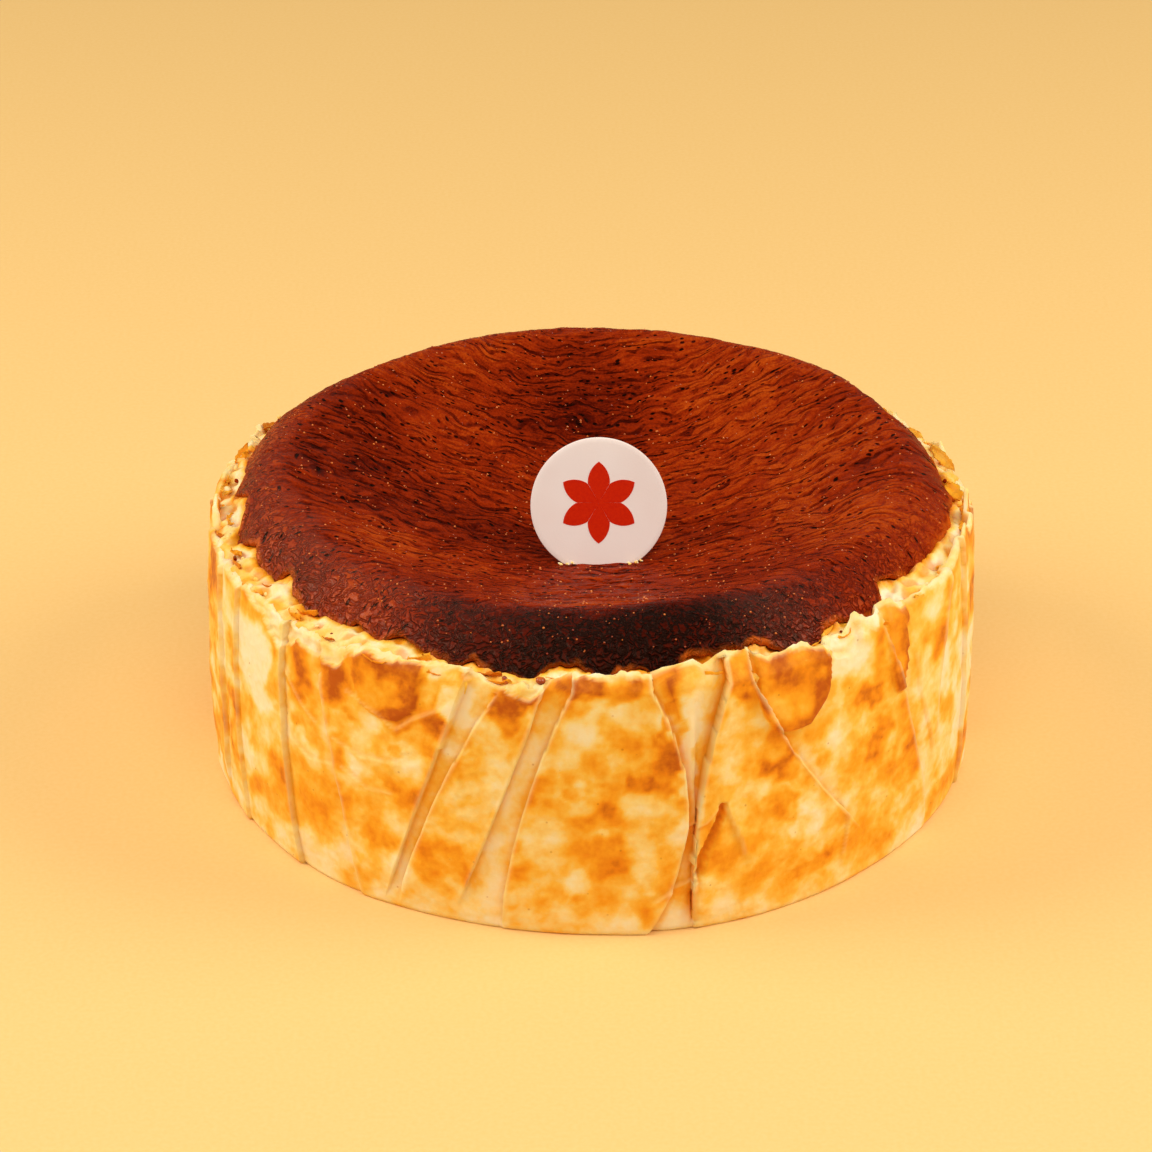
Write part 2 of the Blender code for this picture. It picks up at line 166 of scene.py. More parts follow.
# Fine lines pressed or torn into the wall: (width in mm, height in mm, points). Each point
# is an azimuth and a height in mm. Below nothing is an open tear; above it is the lapped
# edge of a fold, raised on the left of the line as it runs.
LINES = (
    (1.1, -1.7, ((18.5, 31.5), (18.3, 28.4), (17.0, 24.2), (15.7, 19.6), (15.1, 15.2))),
    (0.7, -0.6, ((15.1, 15.2), (14.9, 12.3), (14.8, 2.7))),
    (0.8, 0.7, ((19.0, 30.8), (20.8, 23.7), (21.9, 18.5))),
    (0.8, 0.5, ((14.8, 13.2), (11.5, 11.9), (9.2, 9.3))),
    (0.8, 0.4, ((14.2, 26.8), (16.3, 28.0), (18.6, 32.0))),
    (0.8, 0.4, ((38.8, 21.7), (39.8, 16.2), (39.2, 9.0))),
    (0.8, 0.5, ((-21.3, 54.5), (-25.5, 50.6), (-28.1, 46.9), (-31.5, 50.3), (-36.2, 52.6))),
    (0.8, 0.3, ((-28.2, 38.4), (-34.0, 37.5), (-38.6, 39.6))),
    (0.8, 0.3, ((-29.0, 30.5), (-33.0, 30.0), (-37.0, 33.0))),
    (0.8, 0.3, ((-42.5, 41.0), (-45.5, 43.5), (-49.0, 49.0))),
    (0.8, 0.3, ((-40.0, 32.0), (-44.0, 31.0), (-47.5, 33.0))),
    (0.8, 0.3, ((55.0, 50.0), (57.0, 36.0), (60.5, 22.0))),
    (0.8, 0.3, ((-70.0, 52.0), (-68.0, 38.0), (-66.5, 20.0))),
)
LAP_RUN = 3.2 * MM

# Browned and pale patches of the wall that the photo shows:
# (azimuth, height in mm, half width in mm, half height in mm, browner or paler by)
BROWNED = (
    (-47, 51, 5, 8.2, 0.30), (-28, 62, 6.8, 5.8, 0.42), (-38, 54, 4.9, 6.3, 0.25),
    (-28, 50, 3.8, 2.5, 0.25), (-22, 50, 4.7, 6.3, 0.20), (-28, 41, 2.5, 2.5, 0.30),
    (-11, 55, 3.2, 7, 0.35), (-17, 41, 3, 2.7, 0.15), (-29, 34, 5, 3.8, 0.20),
    (-9, 62, 4.4, 2.5, 0.60), (-47, 39, 4.2, 2.5, 0.20), (-2, 63, 5.6, 3.5, 0.45),
    (4, 62, 6.1, 3.8, 0.35), (7, 40, 3.9, 3.8, 0.35), (-2, 38, 4.3, 3.3, 0.30),
    (3, 30, 6.8, 3.3, 0.22), (2, 21, 8.9, 4.9, 0.20), (10, 44, 2.9, 7.7, 0.20),
    (21, 63, 2.6, 6.3, 0.20), (28, 37, 4.4, 3.3, 0.30), (28, 28, 4.4, 4.9, 0.25),
    (26, 17, 7.5, 6.3, 0.20), (34, 9, 5.2, 3.8, 0.25), (35, 37, 3.5, 2.5, 0.25),
    (44, 47, 3.7, 3.8, 0.25), (46, 33, 4.2, 6.3, 0.20), (12, 59, 3, 7.7, 0.15),
    (-57, 47, 7, 13.7, -0.48), (-38, 44, 4.3, 3.8, -0.30), (-45, 32, 4.8, 4.4, -0.25),
    (-23, 64, 3.7, 3.3, -0.30), (-35, 35, 3.5, 3.3, -0.25), (0, 53, 6.8, 4.9, -0.20),
    (24, 49, 3.2, 4.4, -0.15), (32, 22, 4, 4.4, -0.30), (40, 60, 8.9, 7.1, -0.45),
    (-2, 13, 3.4, 3.3, -0.30), (39, 43, 4.9, 4.9, -0.20), (13.9, 46, 2.7, 17, -0.55),
    (7, 17, 2.2, 3.3, -0.15), (11.4, 56, 2.0, 8, 0.42), (78, 56, 6, 13, 0.28), (86, 50, 5, 20, 0.22),
    (-19, 56, 3.2, 7, -0.35), (-76, 52, 5, 9, 0.22), (-66, 26, 4, 9, 0.20), (53, 22, 5, 8, 0.18),
)

# Height in mm of the skin's torn lip at the front, by azimuth
LIP = (
    (-100, 63.5), (-94, 62), (-90, 62), (-86, 67), (-82, 62), (-70, 61), (-56, 61.5), (-50, 61),
    (-42, 60.5), (-36, 62.5), (-30, 64), (-24, 64), (-18, 64.3), (-13, 61.5), (-8, 62), (-4, 64.4),
    (1, 65), (7, 65.3), (9, 64), (12, 65.6), (14.5, 66.5), (16.5, 64.5), (19.5, 67.5), (23, 67),
    (26, 65.3), (31, 65.5), (36, 64), (40, 63), (43, 66.5), (46, 64.5), (49, 66), (54, 63.5),
    (60, 63), (69, 62.5), (73, 66), (76, 67), (79, 63.5), (81.5, 64.5), (84, 70.5), (86.5, 63.5),
    (94, 61.5), (100, 61.5),
)
LIP_LEAN = 0.6

# Tongues where the skin has torn off below the lip: (azimuth, half width in degrees, depth in mm)
TONGUES = (
    (-51.5, 4.0, 6.5),
    (-44.5, 4.5, 3.0),
    (-39.0, 2.5, 4.0),
    (-58.0, 4.0, 2.0),
    (41.0, 6.0, 5.0),
    (-9.0, 3.0, 2.0),
    (120.0, 8.0, 6.0),
    (165.0, 6.0, 4.0),
    (205.0, 7.0, 5.0),
    (250.0, 5.0, 4.0),
)

# Darker spots of the bowl: (X, Y, half width, half depth in mm, darker by). The first is
# painted shade in the bowl left of the card
SHADES = (
    (-20, 2, 20, 16, 0.14),
    (4, 46, 24, 14, 0.10),
)

# A scar in the crust beside the card: its X and Y, half length and half width
SCAR = (23.6 * MM, 6.1 * MM, 3.4 * MM, 1.0 * MM)

# How the crust's edge rolls under: (share of the overhang, share of the thickness down)
EDGE_ROLL = ((0.34, 0.12), (0.62, 0.34), (0.66, 0.62), (0.42, 0.86), (0.0, 1.0))

# Underside of the crust: (distance in from its edge in mm, thicknesses down)
UNDERSIDE = ((1.6, 1.1), (5.0, 1.35))

# How the wall's skin ends at its lip: (thicknesses inward, mm down)
LIP_ROLL = ((0.25, 0.15), (0.6, 0.0), (1.0, 0.25), (1.2, 1.2), (1.25, 3.0), (1.6, 16.5))

# Topper card, from the size of its node
TOPPER_LEAN = math.radians(21.0)
TOPPER_THICKNESS = 1.2 * MM
TOPPER_EDGE = 0.16 * MM
ROSETTE_RADIUS = 9.6 * MM
ROSETTE_RISE = 0.7 * MM
INK_THICKNESS = 0.04 * MM

# Strands of the crust: spacing and length of the furrows between them in mm, and their share
STRANDS = (2.1, 7.0, 0.42)
FINE_STRANDS = (1.0, 3.0, 0.60)

# Stretches of the rim, each a middle azimuth and a half width in degrees: where the strands
# run on to the edge, where it is charred and painted with shade, and where it has a sheen
STRANDED_RIM = (97.0, 34.0)
CHARRED_AND_SHADED_RIM = (2.0, 34.0)
LEFT_SHEEN = (-56.0, 34.0)
RIGHT_SHEEN = (33.0, 9.0)

# Burnt crust, from its furrows to its palest backs
CRUST_COLOURS = (
    (0.10, "#160200"),
    (0.34, "#540C00"),
    (0.55, "#902603"),
    (0.75, "#BA4A0C"),
    (0.98, "#D47428"),
)

# Custard, from barely set to browned
SKIN_COLOURS = (
    (0.00, "#FFF0C8"),
    (0.22, "#FFE090"),
    (0.42, "#FFC74C"),
    (0.60, "#FBAC20"),
    (0.78, "#EE9008"),
    (1.00, "#C05C06"),
)

# Blisters of caramel on the crust
BLISTER_RADIUS = 0.24 * MM
BLISTERS_PER_SQUARE_METRE = 50000.0
BLISTER_SEED = 31

# Flakes and crumbs: a flake's thickness, the seed of their shades, the line across the card's
# foot where crumbs lie, and the X of its two ends
FLAKE_THICKNESS = 0.4 * MM
SHADE_SEED = 77
CARD_FOOT = -11.4 * MM
CARD_FOOT_ENDS = (-5.6 * MM, 10.4 * MM)

# Stage
FLOOR_HALF_WIDTH = 4.0
LIGHT_AIM_HEIGHT = 0.05

# Camera, fitted to the photograph
CAMERA_PLACE = (0.0, -0.8637, 0.5039)
CAMERA_PITCH = 28.13
CAMERA_YAW = 0.221
FOCAL_PIXELS = 4139.0
PICTURE_PIXELS = 1152.0
SENSOR_WIDTH = 36.0


def smooth(low, high, x):
    """0 below low, 1 above high and an S-shaped rise between."""
    t = np.clip((x - low) / (high - low), 0.0, 1.0)
    return t * t * (3.0 - 2.0 * t)


def turned(degrees):
    """An angle in degrees brought to the half turn either side of 0."""
    return (degrees + 180.0) % 360.0 - 180.0


def along_wall(degrees):
    """An azimuth as metres round the wall's foot from the front, the shorter way."""
    return np.radians(turned(degrees)) * FOOT_RADIUS


def bump(x, middle, width):
    """1 at the middle, falling to nothing a few widths away."""
    return np.exp(-(((x - middle) / width) ** 2))


def waves(azimuth, counts, seed):
    """A wandering outline: one cosine for each count of waves round the cake, from -1 to 1."""
    phases = np.random.default_rng(seed).uniform(0.0, 2.0 * math.pi, len(counts))
    total = sum(
        math.sqrt(counts[0] / n) * np.cos(n * np.radians(azimuth) + p)
        for n, p in zip(counts, phases)
    )
    return total / math.sqrt(len(counts))


def field(points, size, depth=3, layer=0.0):
    """Soft random field over points, from about -1 to 1, in lumps of that size in metres.

    A size may be one number, or three for lumps that are longer one way.
    """
    spots = points / np.asarray(size) + (layer, 1.7 * layer, 2.9 * layer)
    return np.array([noise.fractal(p, 1.0, 2.0, depth) for p in spots.tolist()])


def torn_line(azimuth, size, layer):
    """Wander of a torn edge round the cake, from about -1 to 1, in bits of that size."""
    turns = np.arange(0.0, 360.0, 0.15)
    wander = field(round_place(turns, FOOT_RADIUS, 0.0 * turns), size, 4, layer)
    return np.interp(azimuth, turns, wander, period=360.0)


def all_folds():
    """Every fold in order round the cake: those at the front, then those that the photo hides."""
    draw = np.random.default_rng(REAR_FOLD_SEED)
    first, last = FRONT_FOLDS[-1][1] + 4.0, FRONT_FOLDS[0][1] + 356.0
    pitch = (last - first) / REAR_FOLDS
    rear = []
    for i in range(REAR_FOLDS):
        middle = first + (i + 0.5) * pitch + draw.uniform(-0.2, 0.2) * pitch
        lean = 5.0 * math.sin(i * 1.1) + draw.uniform(-1.0, 1.0)
        side = 1.0 if draw.random() < 0.5 else -1.0
        lap = side * draw.uniform(0.6, 1.3)
        low = draw.choice((0.0, 0.0, 0.15))
        rear.append((middle - lean, middle + lean, draw.uniform(-1.0, 1.0), lap, low, 1.0))
    return list(FRONT_FOLDS) + rear


FOLDS = all_folds()


def crease(fold, share):
    """Azimuth of a fold's crease at a share of the wall's height."""
    foot, top, bow = fold[:3]
    return foot + (top - foot) * share + bow * 4.0 * share * (1.0 - share)


def fold_strength(fold, share):
    """How deep the fold is at a share of the wall's height: it dies out past its ends."""
    low, high = fold[4:]
    rise = smooth(low - 0.10, low + 0.08, share) if low > 0.0 else 0.75 + 0.25 * share
    fall = 1.0 - smooth(high, high + 0.12, share) if high < 1.0 else 1.0
    return rise * fall


def fold_marks(azimuth, share):
    """What the folds do at points of the wall: height, tuck, proud, rim and groove.

    Height is the radial relief in metres. Tuck is 1 under a lap, where no heat browned the
    skin. Proud is 1 on a panel beside its lapped edge, and rim is 1 on the very edge, which is
    paler thin skin with a painted highlight. Groove is 1 in the crease under it, painted with the
    warm glow of light that comes through the curd.
    """
    height, tuck, proud, rim, groove = (np.zeros(azimuth.shape) for _ in range(5))
    for fold in FOLDS:
        away = along_wall(azimuth - crease(fold, share))
        lap = fold[3] * MM
        over = np.where(away * lap < 0.0, 1.0, 0.0)
        run = np.abs(away)
        strength = fold_strength(fold, share)
        raised = 0.62 * np.exp(-((run / (7.0 * MM)) ** 1.4))
        tucked = -0.55 * np.exp(-run / (3.0 * MM))
        height += abs(lap) * strength * (over * raised + (1.0 - over) * tucked)
        weight = strength * min(1.0, abs(lap) / (1.2 * MM))
        tuck += weight * (1.0 - over) * bump(run, 0.0, 3.6 * MM)
        proud += weight * over * bump(run, 0.0, 5.0 * MM)
        rim += weight * over * bump(run, 0.0, 0.5 * MM)
        deep = min(1.0, max(0.1, abs(fold[3]) / 1.1 - 0.73))
        # The crease's painted glow of light that comes through the curd
        groove += weight * deep * (1.0 - over) * bump(run, 0.0, 0.40 * abs(lap) + 0.4 * MM)
    return height, tuck, proud, rim, groove


def flap_marks(azimuth, height):
    """Radial height of the skin flaps folded down over the wall, and how near their edge is, where
    shade is painted.
    """
    relief, edge = np.zeros(azimuth.shape), np.zeros(azimuth.shape)
    for middle, level, half_width, half_height, lift in FLAPS:
        across = along_wall(azimuth - middle) / (half_width * MM)
        up = (height - level * MM) / (half_height * MM)
        reach = np.hypot(across, np.minimum(up, 0.0)) + 0.02 * np.sin(9.0 * across + 5.0 * up)
        relief += lift * MM * (1.0 - smooth(0.88, 0.98, reach)) * (0.55 + 0.45 * reach)
        edge += bump(reach, 0.84, 0.14) * (reach < 0.98) * smooth(-0.7, 0.1, across)
    return relief, edge


def line_marks(azimuth, height):
    """What the fine lines do at points of the wall: radial relief, and raised and torn shares,
    which get a painted highlight and the painted glow of light through the curd.
    """
    along = along_wall(azimuth)
    relief, raised, torn = (np.zeros(azimuth.shape) for _ in range(3))
    for width, tall, marks in LINES:
        nearest = np.full(azimuth.shape, 1.0)
        beside = np.zeros(azimuth.shape)
        spots = [(math.radians(a) * FOOT_RADIUS, z * MM) for a, z in marks]
        for start, end in zip(spots, spots[1:]):
            run = np.subtract(end, start)
            across, up = along - start[0], height - start[1]
            t = np.clip((across * run[0] + up * run[1]) / (run @ run), 0.0, 1.0)
            gap = np.hypot(across - t * run[0], up - t * run[1])
            closer = gap < nearest
            beside = np.where(closer, (run[0] * up - run[1] * across) / math.hypot(*run), beside)
            nearest = np.where(closer, gap, nearest)
        if tall < 0.0:
            near = 1.0 - smooth(0.5 * width * MM, 1.05 * width * MM, nearest)
            relief += tall * MM * near
            torn += near * min(1.0, -tall)
        else:
            near = 1.0 - smooth(0.3 * width * MM, 1.2 * width * MM, nearest)
            side = smooth(-0.35 * MM, 0.35 * MM, beside)
            relief += tall * MM * side * np.exp(-((nearest / LAP_RUN) ** 1.5))
            raised += 0.5 * near * side
            torn += 0.4 * (1.0 - side) * bump(nearest, 0.0, 0.8 * MM)
    return relief, raised, torn


def skin_torn(azimuth, height):
    """1 where the skin has come off the curd just under the lip, 0 where it is whole."""
    edge = skin_top(azimuth) - 0.6 * MM + 1.4 * MM * torn_line(azimuth, 6.0 * MM, 44.0)
    for middle, half_width, depth in TONGUES:
        into = np.clip(1.0 - np.abs(turned(azimuth - middle)) / half_width, 0.0, 1.0)
        edge -= depth * MM * into**0.6
    return smooth(-0.35 * MM, 0.35 * MM, height - edge), (edge - height) / MM


def wall_radius(azimuth, height):
    """Distance of the wall from the cake's axis, folds and all."""
    azimuth, height = np.broadcast_arrays(azimuth, height)
    share = np.clip(height / WALL_HEIGHT, 0.0, 1.0)
    plain = FOOT_RADIUS + WALL_BULGE * np.sin(math.pi * share**0.8)
    plain -= 0.5 * MM * smooth(0.80, 1.1, share)
    spread = bump(turned(azimuth - 14.0), 0.0, 32.0) * (1.0 - 0.6 * share)
    plain += FRONT_SPREAD * spread
    wander = 0.45 * MM * waves(azimuth, (2, 3, 5, 7, 11), 3)
    relief = fold_marks(azimuth, share)[0] + flap_marks(azimuth, height)[0]
    relief += line_marks(azimuth, height)[0]
    return plain + wander + relief - SKIN_STEP * skin_torn(azimuth, height)[0]


def skin_top(azimuth):
    """Height of the wall skin's torn upper edge."""
    top = WALL_HEIGHT + 0.7 * MM * waves(azimuth, (9, 17, 31, 47), 5)
    top += 1.1 * MM * torn_line(azimuth, 5.5 * MM, 6.0)
    for middle, half_width, height in SHREDS:
        rise = np.clip(1.0 - np.abs(turned(azimuth - middle)) / half_width, 0.0, 1.0)
        ragged = 1.0 + 0.22 * np.sin(4.1 * azimuth + middle) * smooth(0.0, 0.3, rise)
        top += height * MM * rise**0.7 * ragged
    away = turned(azimuth)
    seen = np.interp(away, *np.array(LIP, dtype=float).T) * MM
    seen += 0.7 * MM * torn_line(azimuth, 3.5 * MM, 16.0)
    return top + (seen - top) * (1.0 - smooth(*SHOWN_TO, np.abs(away)))


def lip_lean(azimuth, height):
    """How far the skin above the wall leans in over the curd."""
    front = 1.0 - 0.85 * smooth(56.0, 74.0, np.abs(turned(azimuth)))
    return LIP_LEAN * front * np.maximum(height - WALL_HEIGHT, 0.0)


def crust_edge(azimuth, ragged=True):
    """Radius of the crust's edge, with or without its tears."""
    edge = CRUST_EDGE_RADIUS - 0.8 * MM + 0.8 * MM * waves(azimuth, (7, 13, 23, 37, 53), 8)
    wide, deep, level_to = (1.0, 1.0, 0.35) if ragged else (1.3, 0.6, 0.2)
    for middle, half_width, depth in BAYS:
        into = np.abs(turned(azimuth - middle)) / (wide * half_width)
        edge -= deep * depth * MM * (1.0 - smooth(level_to, 1.0, into))
    if not ragged:
        return edge
    edge += 1.5 * MM * torn_line(azimuth, 7.0 * MM, 9.0)
    away = turned(azimuth)
    seen = np.interp(away, *np.array(CRUST_TEARS, dtype=float).T) * MM
    edge += (seen - edge) * (1.0 - smooth(*SHOWN_TO, np.abs(away)))
    return edge + 0.6 * MM * torn_line(azimuth, 2.6 * MM, 19.0)


def crest_place(azimuth):
    """(radius, height) of the crust's highest line: wider and higher towards the back."""
    back = -np.cos(np.radians(azimuth))
    bulge = bump(turned(azimuth - 128.0), 0.0, 26.0)
    radius = CREST_RADIUS + 4.0 * MM * back + 2.5 * MM * bulge
    height = CREST_HEIGHT + 0.8 * MM * back + 0.3 * MM * waves(azimuth, (3, 4, 7), 13)
    return radius, height


def top_height(azimuth, radius):
    """Height of the crust over the sunken bowl, the crest and the dome outside it."""
    crest_radius, crest = crest_place(azimuth)
    into = np.clip(radius / crest_radius, 0.0, 1.0)
    drop = (crest + CREST_ROUND - BOWL_HEIGHT) * (1.0 - into**BOWL_POWER)
    bowl = crest + CREST_ROUND - np.hypot(drop, CREST_ROUND)
    past = (radius - crest_radius) / (crust_edge(azimuth, ragged=False) - crest_radius)
    past = np.clip(past, 0.0, 1.2) * DOME_REACH
    fall = (1.0 - np.sqrt(1.0 - past**2)) / (1.0 - math.sqrt(1.0 - DOME_REACH**2))
    edge_height = CRUST_EDGE_HEIGHT + 0.35 * MM * waves(azimuth, (5, 11, 19), 21)
    dome = crest - (crest - edge_height) * fall
    return np.where(radius < crest_radius, bowl, dome)


def round_place(azimuth, radius, height):
    """Points (N, 3) at those azimuths, radii and heights."""
    a = np.radians(azimuth)
    return np.stack((radius * np.sin(a), -radius * np.cos(a), height), axis=-1).reshape(-1, 3)


def mesh_of(name, points, edges=(), faces=()):
    mesh = bpy.data.meshes.new(name)
    mesh.from_pydata(np.asarray(points).tolist(), edges, faces)
    return mesh


def object_of(name, data):
    """An object in the scene with that mesh, lamp or lens."""
    made = bpy.data.objects.new(name, data)
    bpy.context.scene.collection.objects.link(made)
    return made


def piece(name, points, faces, finish):
    """A smooth mesh object of one material."""
    mesh = mesh_of(name, points, faces=faces)
    mesh.materials.append(finish)
    mesh.shade_smooth()
    return object_of(name, mesh)


def vectors(items, key):
    """A vector that each item keeps, as rows of X, Y and Z."""
    values = np.empty(len(items) * 3)
    items.foreach_get(key, values)
    return values.reshape(-1, 3)


def places(made):
    return vectors(made.data.vertices, "co")


def polar(spots):
    """Azimuth in degrees and distance from the cake's axis of each point."""
    return np.degrees(np.arctan2(spots[:, 0], -spots[:, 1])), np.hypot(spots[:, 0], spots[:, 1])


def displace(made, heights):
    """Moves each point along its normal."""
    normals = vectors(made.data.vertex_normals, "vector")
    moved = places(made) + normals * heights[:, None]
    made.data.vertices.foreach_set("co", moved.ravel())
    made.data.update()


def store(made, name, values):
    """Keeps a number or a vector for each point of the mesh, for its material."""
    kind, key = ("FLOAT", "value") if values.ndim == 1 else ("FLOAT_VECTOR", "vector")
    made.data.attributes.new(name, kind, "POINT").data.foreach_set(key, values.ravel())


def strip(lower, upper, columns):
    """Quads between two rings of columns points, given by the index of each ring's first point."""
    after = [(k + 1) % columns for k in range(columns)]
    return [(lower + k, lower + after[k], upper + after[k], upper + k) for k in range(columns)]


def weld(made, count=None):
    """Joins points that lie together, among the first count of them or among all."""
    shape = bmesh.new()
    shape.from_mesh(made.data)
    shape.verts.ensure_lookup_table()
    bmesh.ops.remove_doubles(shape, verts=shape.verts[:count], dist=WELD_GAP)
    shape.to_mesh(made.data)
    shape.free()
    made.data.shade_smooth()


def settle(made, stands_for):
    """Hangs a finished piece on the root body and hides the part that it stands for, if any."""
    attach(made, "root")
    if stands_for:
        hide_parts(stands_for)


# Materials


def paint(code):
    """An sRGB hex colour as linear RGBA."""
    parts = [int(code[i : i + 2], 16) / 255.0 for i in (1, 3, 5)]
    linear = [c / 12.92 if c <= 0.04045 else ((c + 0.055) / 1.055) ** 2.4 for c in parts]
    return (*linear, 1.0)


def feed(node, inputs):
    """Gives inputs a plain value, a socket, or a node whose first output in use is meant."""
    for key, value in inputs.items():
        if isinstance(value, bpy.types.Node):
            value = next(socket for socket in value.outputs if socket.enabled)
        if isinstance(value, bpy.types.NodeSocket):
            node.id_data.links.new(value, node.inputs[key])
        else:
            node.inputs[key].default_value = value


def add(tree, kind, inputs=None, stops=(), **settings):
    """Adds a node with its settings, the values and links of its inputs, and a ramp's stops."""
    node = tree.nodes.new(kind)
    for name, value in settings.items():
        setattr(node, name, value)
    feed(node, inputs or {})
    for number, (place, colour) in enumerate(stops):
        if number >= len(node.color_ramp.elements):
            node.color_ramp.elements.new(place)
        node.color_ramp.elements[number].position = place
        node.color_ramp.elements[number].color = paint(colour)
    return node


def ranged(tree, value, *ends, **settings):
    """Maps a range of a value, its lowest and highest, to another: 0 to 1 unless that is given."""
    ends = dict(zip(("From Min", "From Max", "To Min", "To Max"), ends))
    return add(tree, "ShaderNodeMapRange", {"Value": value, **ends}, **settings)


def maths(tree, operation, *values):
    """A sum worked out on values in their order."""
    return add(tree, "ShaderNodeMath", dict(enumerate(values)), operation=operation)


def mixed(tree, share, first, second):
    """Two numbers mixed by a share."""
    return add(tree, "ShaderNodeMix", {"Factor": share, 2: first, 3: second})


def dyed(tree, share, colour, code):
    """A colour mixed by a share with an sRGB hex colour."""
    ends = {"Factor": share, 6: colour, 7: paint(code)}
    return add(tree, "ShaderNodeMix", ends, data_type="RGBA")


def clouded(tree, spot, scale, detail, distortion=0.0):
    """A Noise texture over those coordinates."""
    inputs = {"Vector": spot, "Scale": scale, "Detail": detail, "Distortion": distortion}
    return add(tree, "ShaderNodeTexNoise", inputs)


def stored(tree, output, *labels):
    """What a piece keeps for its points under those names: numbers, "Fac", or a "Vector" each."""
    nodes = (add(tree, "ShaderNodeAttribute", attribute_name=label) for label in labels)
    return [node.outputs[output] for node in nodes]


def drawn(tree, low, high, seed, kind="FLOAT"):
    """A random number or vector between two, for each point or copy."""
    first = 2 if kind == "FLOAT" else 0
    ends = {first: low, first + 1: high, "Seed": seed}
    return add(tree, "FunctionNodeRandomValue", ends, data_type=kind)


def new_material(name):
    """An empty node material: itself, its tree, its Principled shader and Object coordinates."""
    made = bpy.data.materials.new(name)
    made.use_nodes = True
    tree = made.node_tree
    spot = add(tree, "ShaderNodeTexCoord").outputs["Object"]
    return made, tree, tree.nodes["Principled BSDF"], spot


def furrows(tree, flow, spacing, length, width):
    """Rounded strands, 1 along their backs, with broken furrows of 0 between them.

    Spacing and length are in millimetres, and width is the furrow's share of a wave's height.
    """
    along = add(tree, "ShaderNodeMapping", {"Vector": flow, "Scale": (0.65, 1.0, 1.0)})
    # At a scale of 1 the wave repeats every tenth of pi
    ridges = {"Vector": along, "Scale": math.pi / 10.0 / spacing}
    ridges.update({"Distortion": 10.0, "Detail": 2.0, "Detail Scale": 1.1})
    ridges = add(tree, "ShaderNodeTexWave", ridges, bands_direction="Y").outputs["Fac"]
    backs = ranged(tree, ridges, 0.0, width, interpolation_type="SMOOTHSTEP")
    dashes = {"Vector": flow, "Scale": (1.0 / length, 0.8 / spacing, 1.0)}
    dashes = add(tree, "ShaderNodeMapping", dashes)
    breaks = clouded(tree, dashes, 1.0, 1.0)
    closed = ranged(tree, breaks, 0.40, 0.58, 0.0, 0.85)
    return mixed(tree, closed, backs, 1.0)


def crust_material(name):
    """Caramelised cheese crust, browned nearly black in the oven: satin, darkest in its furrows, where
    shade is painted too.

    Strands about 2.1 mm apart, with finer ones between them, cover the bowl. The rim has
    leathery wrinkles about 1.5 mm across.
    """
    made, tree, shader, spot = new_material(name)
    relief, char_and_shade, edge, rim, sheen = stored(tree, "Fac", "relief", "char_and_shade", "edge", "rim", "sheen")
    flow, around = stored(tree, "Vector", "flow", "around")
    wide, fine = (furrows(tree, flow, *sizes) for sizes in (STRANDS, FINE_STRANDS))
    strands = mixed(tree, 0.28, wide, fine)
    fold = add(tree, "ShaderNodeMapping", {"Vector": around, "Scale": (0.66, 0.66, 0.40)})
    wrinkles = clouded(tree, fold, 1.0, 1.0, 0.7)
    wrinkles = maths(tree, "SUBTRACT", wrinkles, 0.5)
    wrinkles = maths(tree, "ABSOLUTE", wrinkles)
    wrinkles = ranged(tree, wrinkles, 0.0, 0.15, 0.25, 0.95)
    lines = mixed(tree, rim, strands, wrinkles)
    # Grain of about half a millimetre
    grain = clouded(tree, spot, 1700.0, 2.0)
    # Pits about 1.2 mm long and half as wide
    close = add(tree, "ShaderNodeMapping", {"Vector": flow, "Scale": (0.42, 0.95, 1.0)})
    cells = add(tree, "ShaderNodeTexVoronoi", {"Vector": close, "Scale": 1.0})
    pits = ranged(tree, cells, 0.14, 0.28, 1.0, 0.0)
    rare = ranged(tree, cells.outputs["Color"], 0.40, 0.46)
    pits = maths(tree, "MULTIPLY", pits, rare)
    # Darker in the furrows, the pits and the low parts of the relief: burnt colour there, and painted
    # shade
    tone = ranged(tree, lines, 0.0, 1.0, 0.02, 0.30)
    for value, weight in ((relief, 0.30), (grain, 0.30), (char_and_shade, -1.0), (pits, -0.45)):
        tone = maths(tree, "MULTIPLY_ADD", value, weight, tone)
    colour = add(tree, "ShaderNodeValToRGB", {"Fac": tone}, stops=CRUST_COLOURS)
    colour = dyed(tree, edge, colour, "#CE5E0E")
    height = lines
    for value, weight in ((pits, -0.7), (grain, 0.22)):
        height = maths(tree, "MULTIPLY_ADD", value, weight, height)
    raised = add(tree, "ShaderNodeBump", {"Height": height, "Distance": 0.55 * MM, "Strength": 1.0})
    rough = ranged(tree, grain, 0.3, 0.7, 0.30, 0.52)
    feed(shader, {"Base Color": colour, "Roughness": rough, "Normal": raised, "IOR": 1.4})
    # The rim has a warm sheen, mostly on its left, and the bowl is nearly matt
    feed(shader, {"Specular IOR Level": sheen, "Specular Tint": paint("#FCBC98")})
    return made


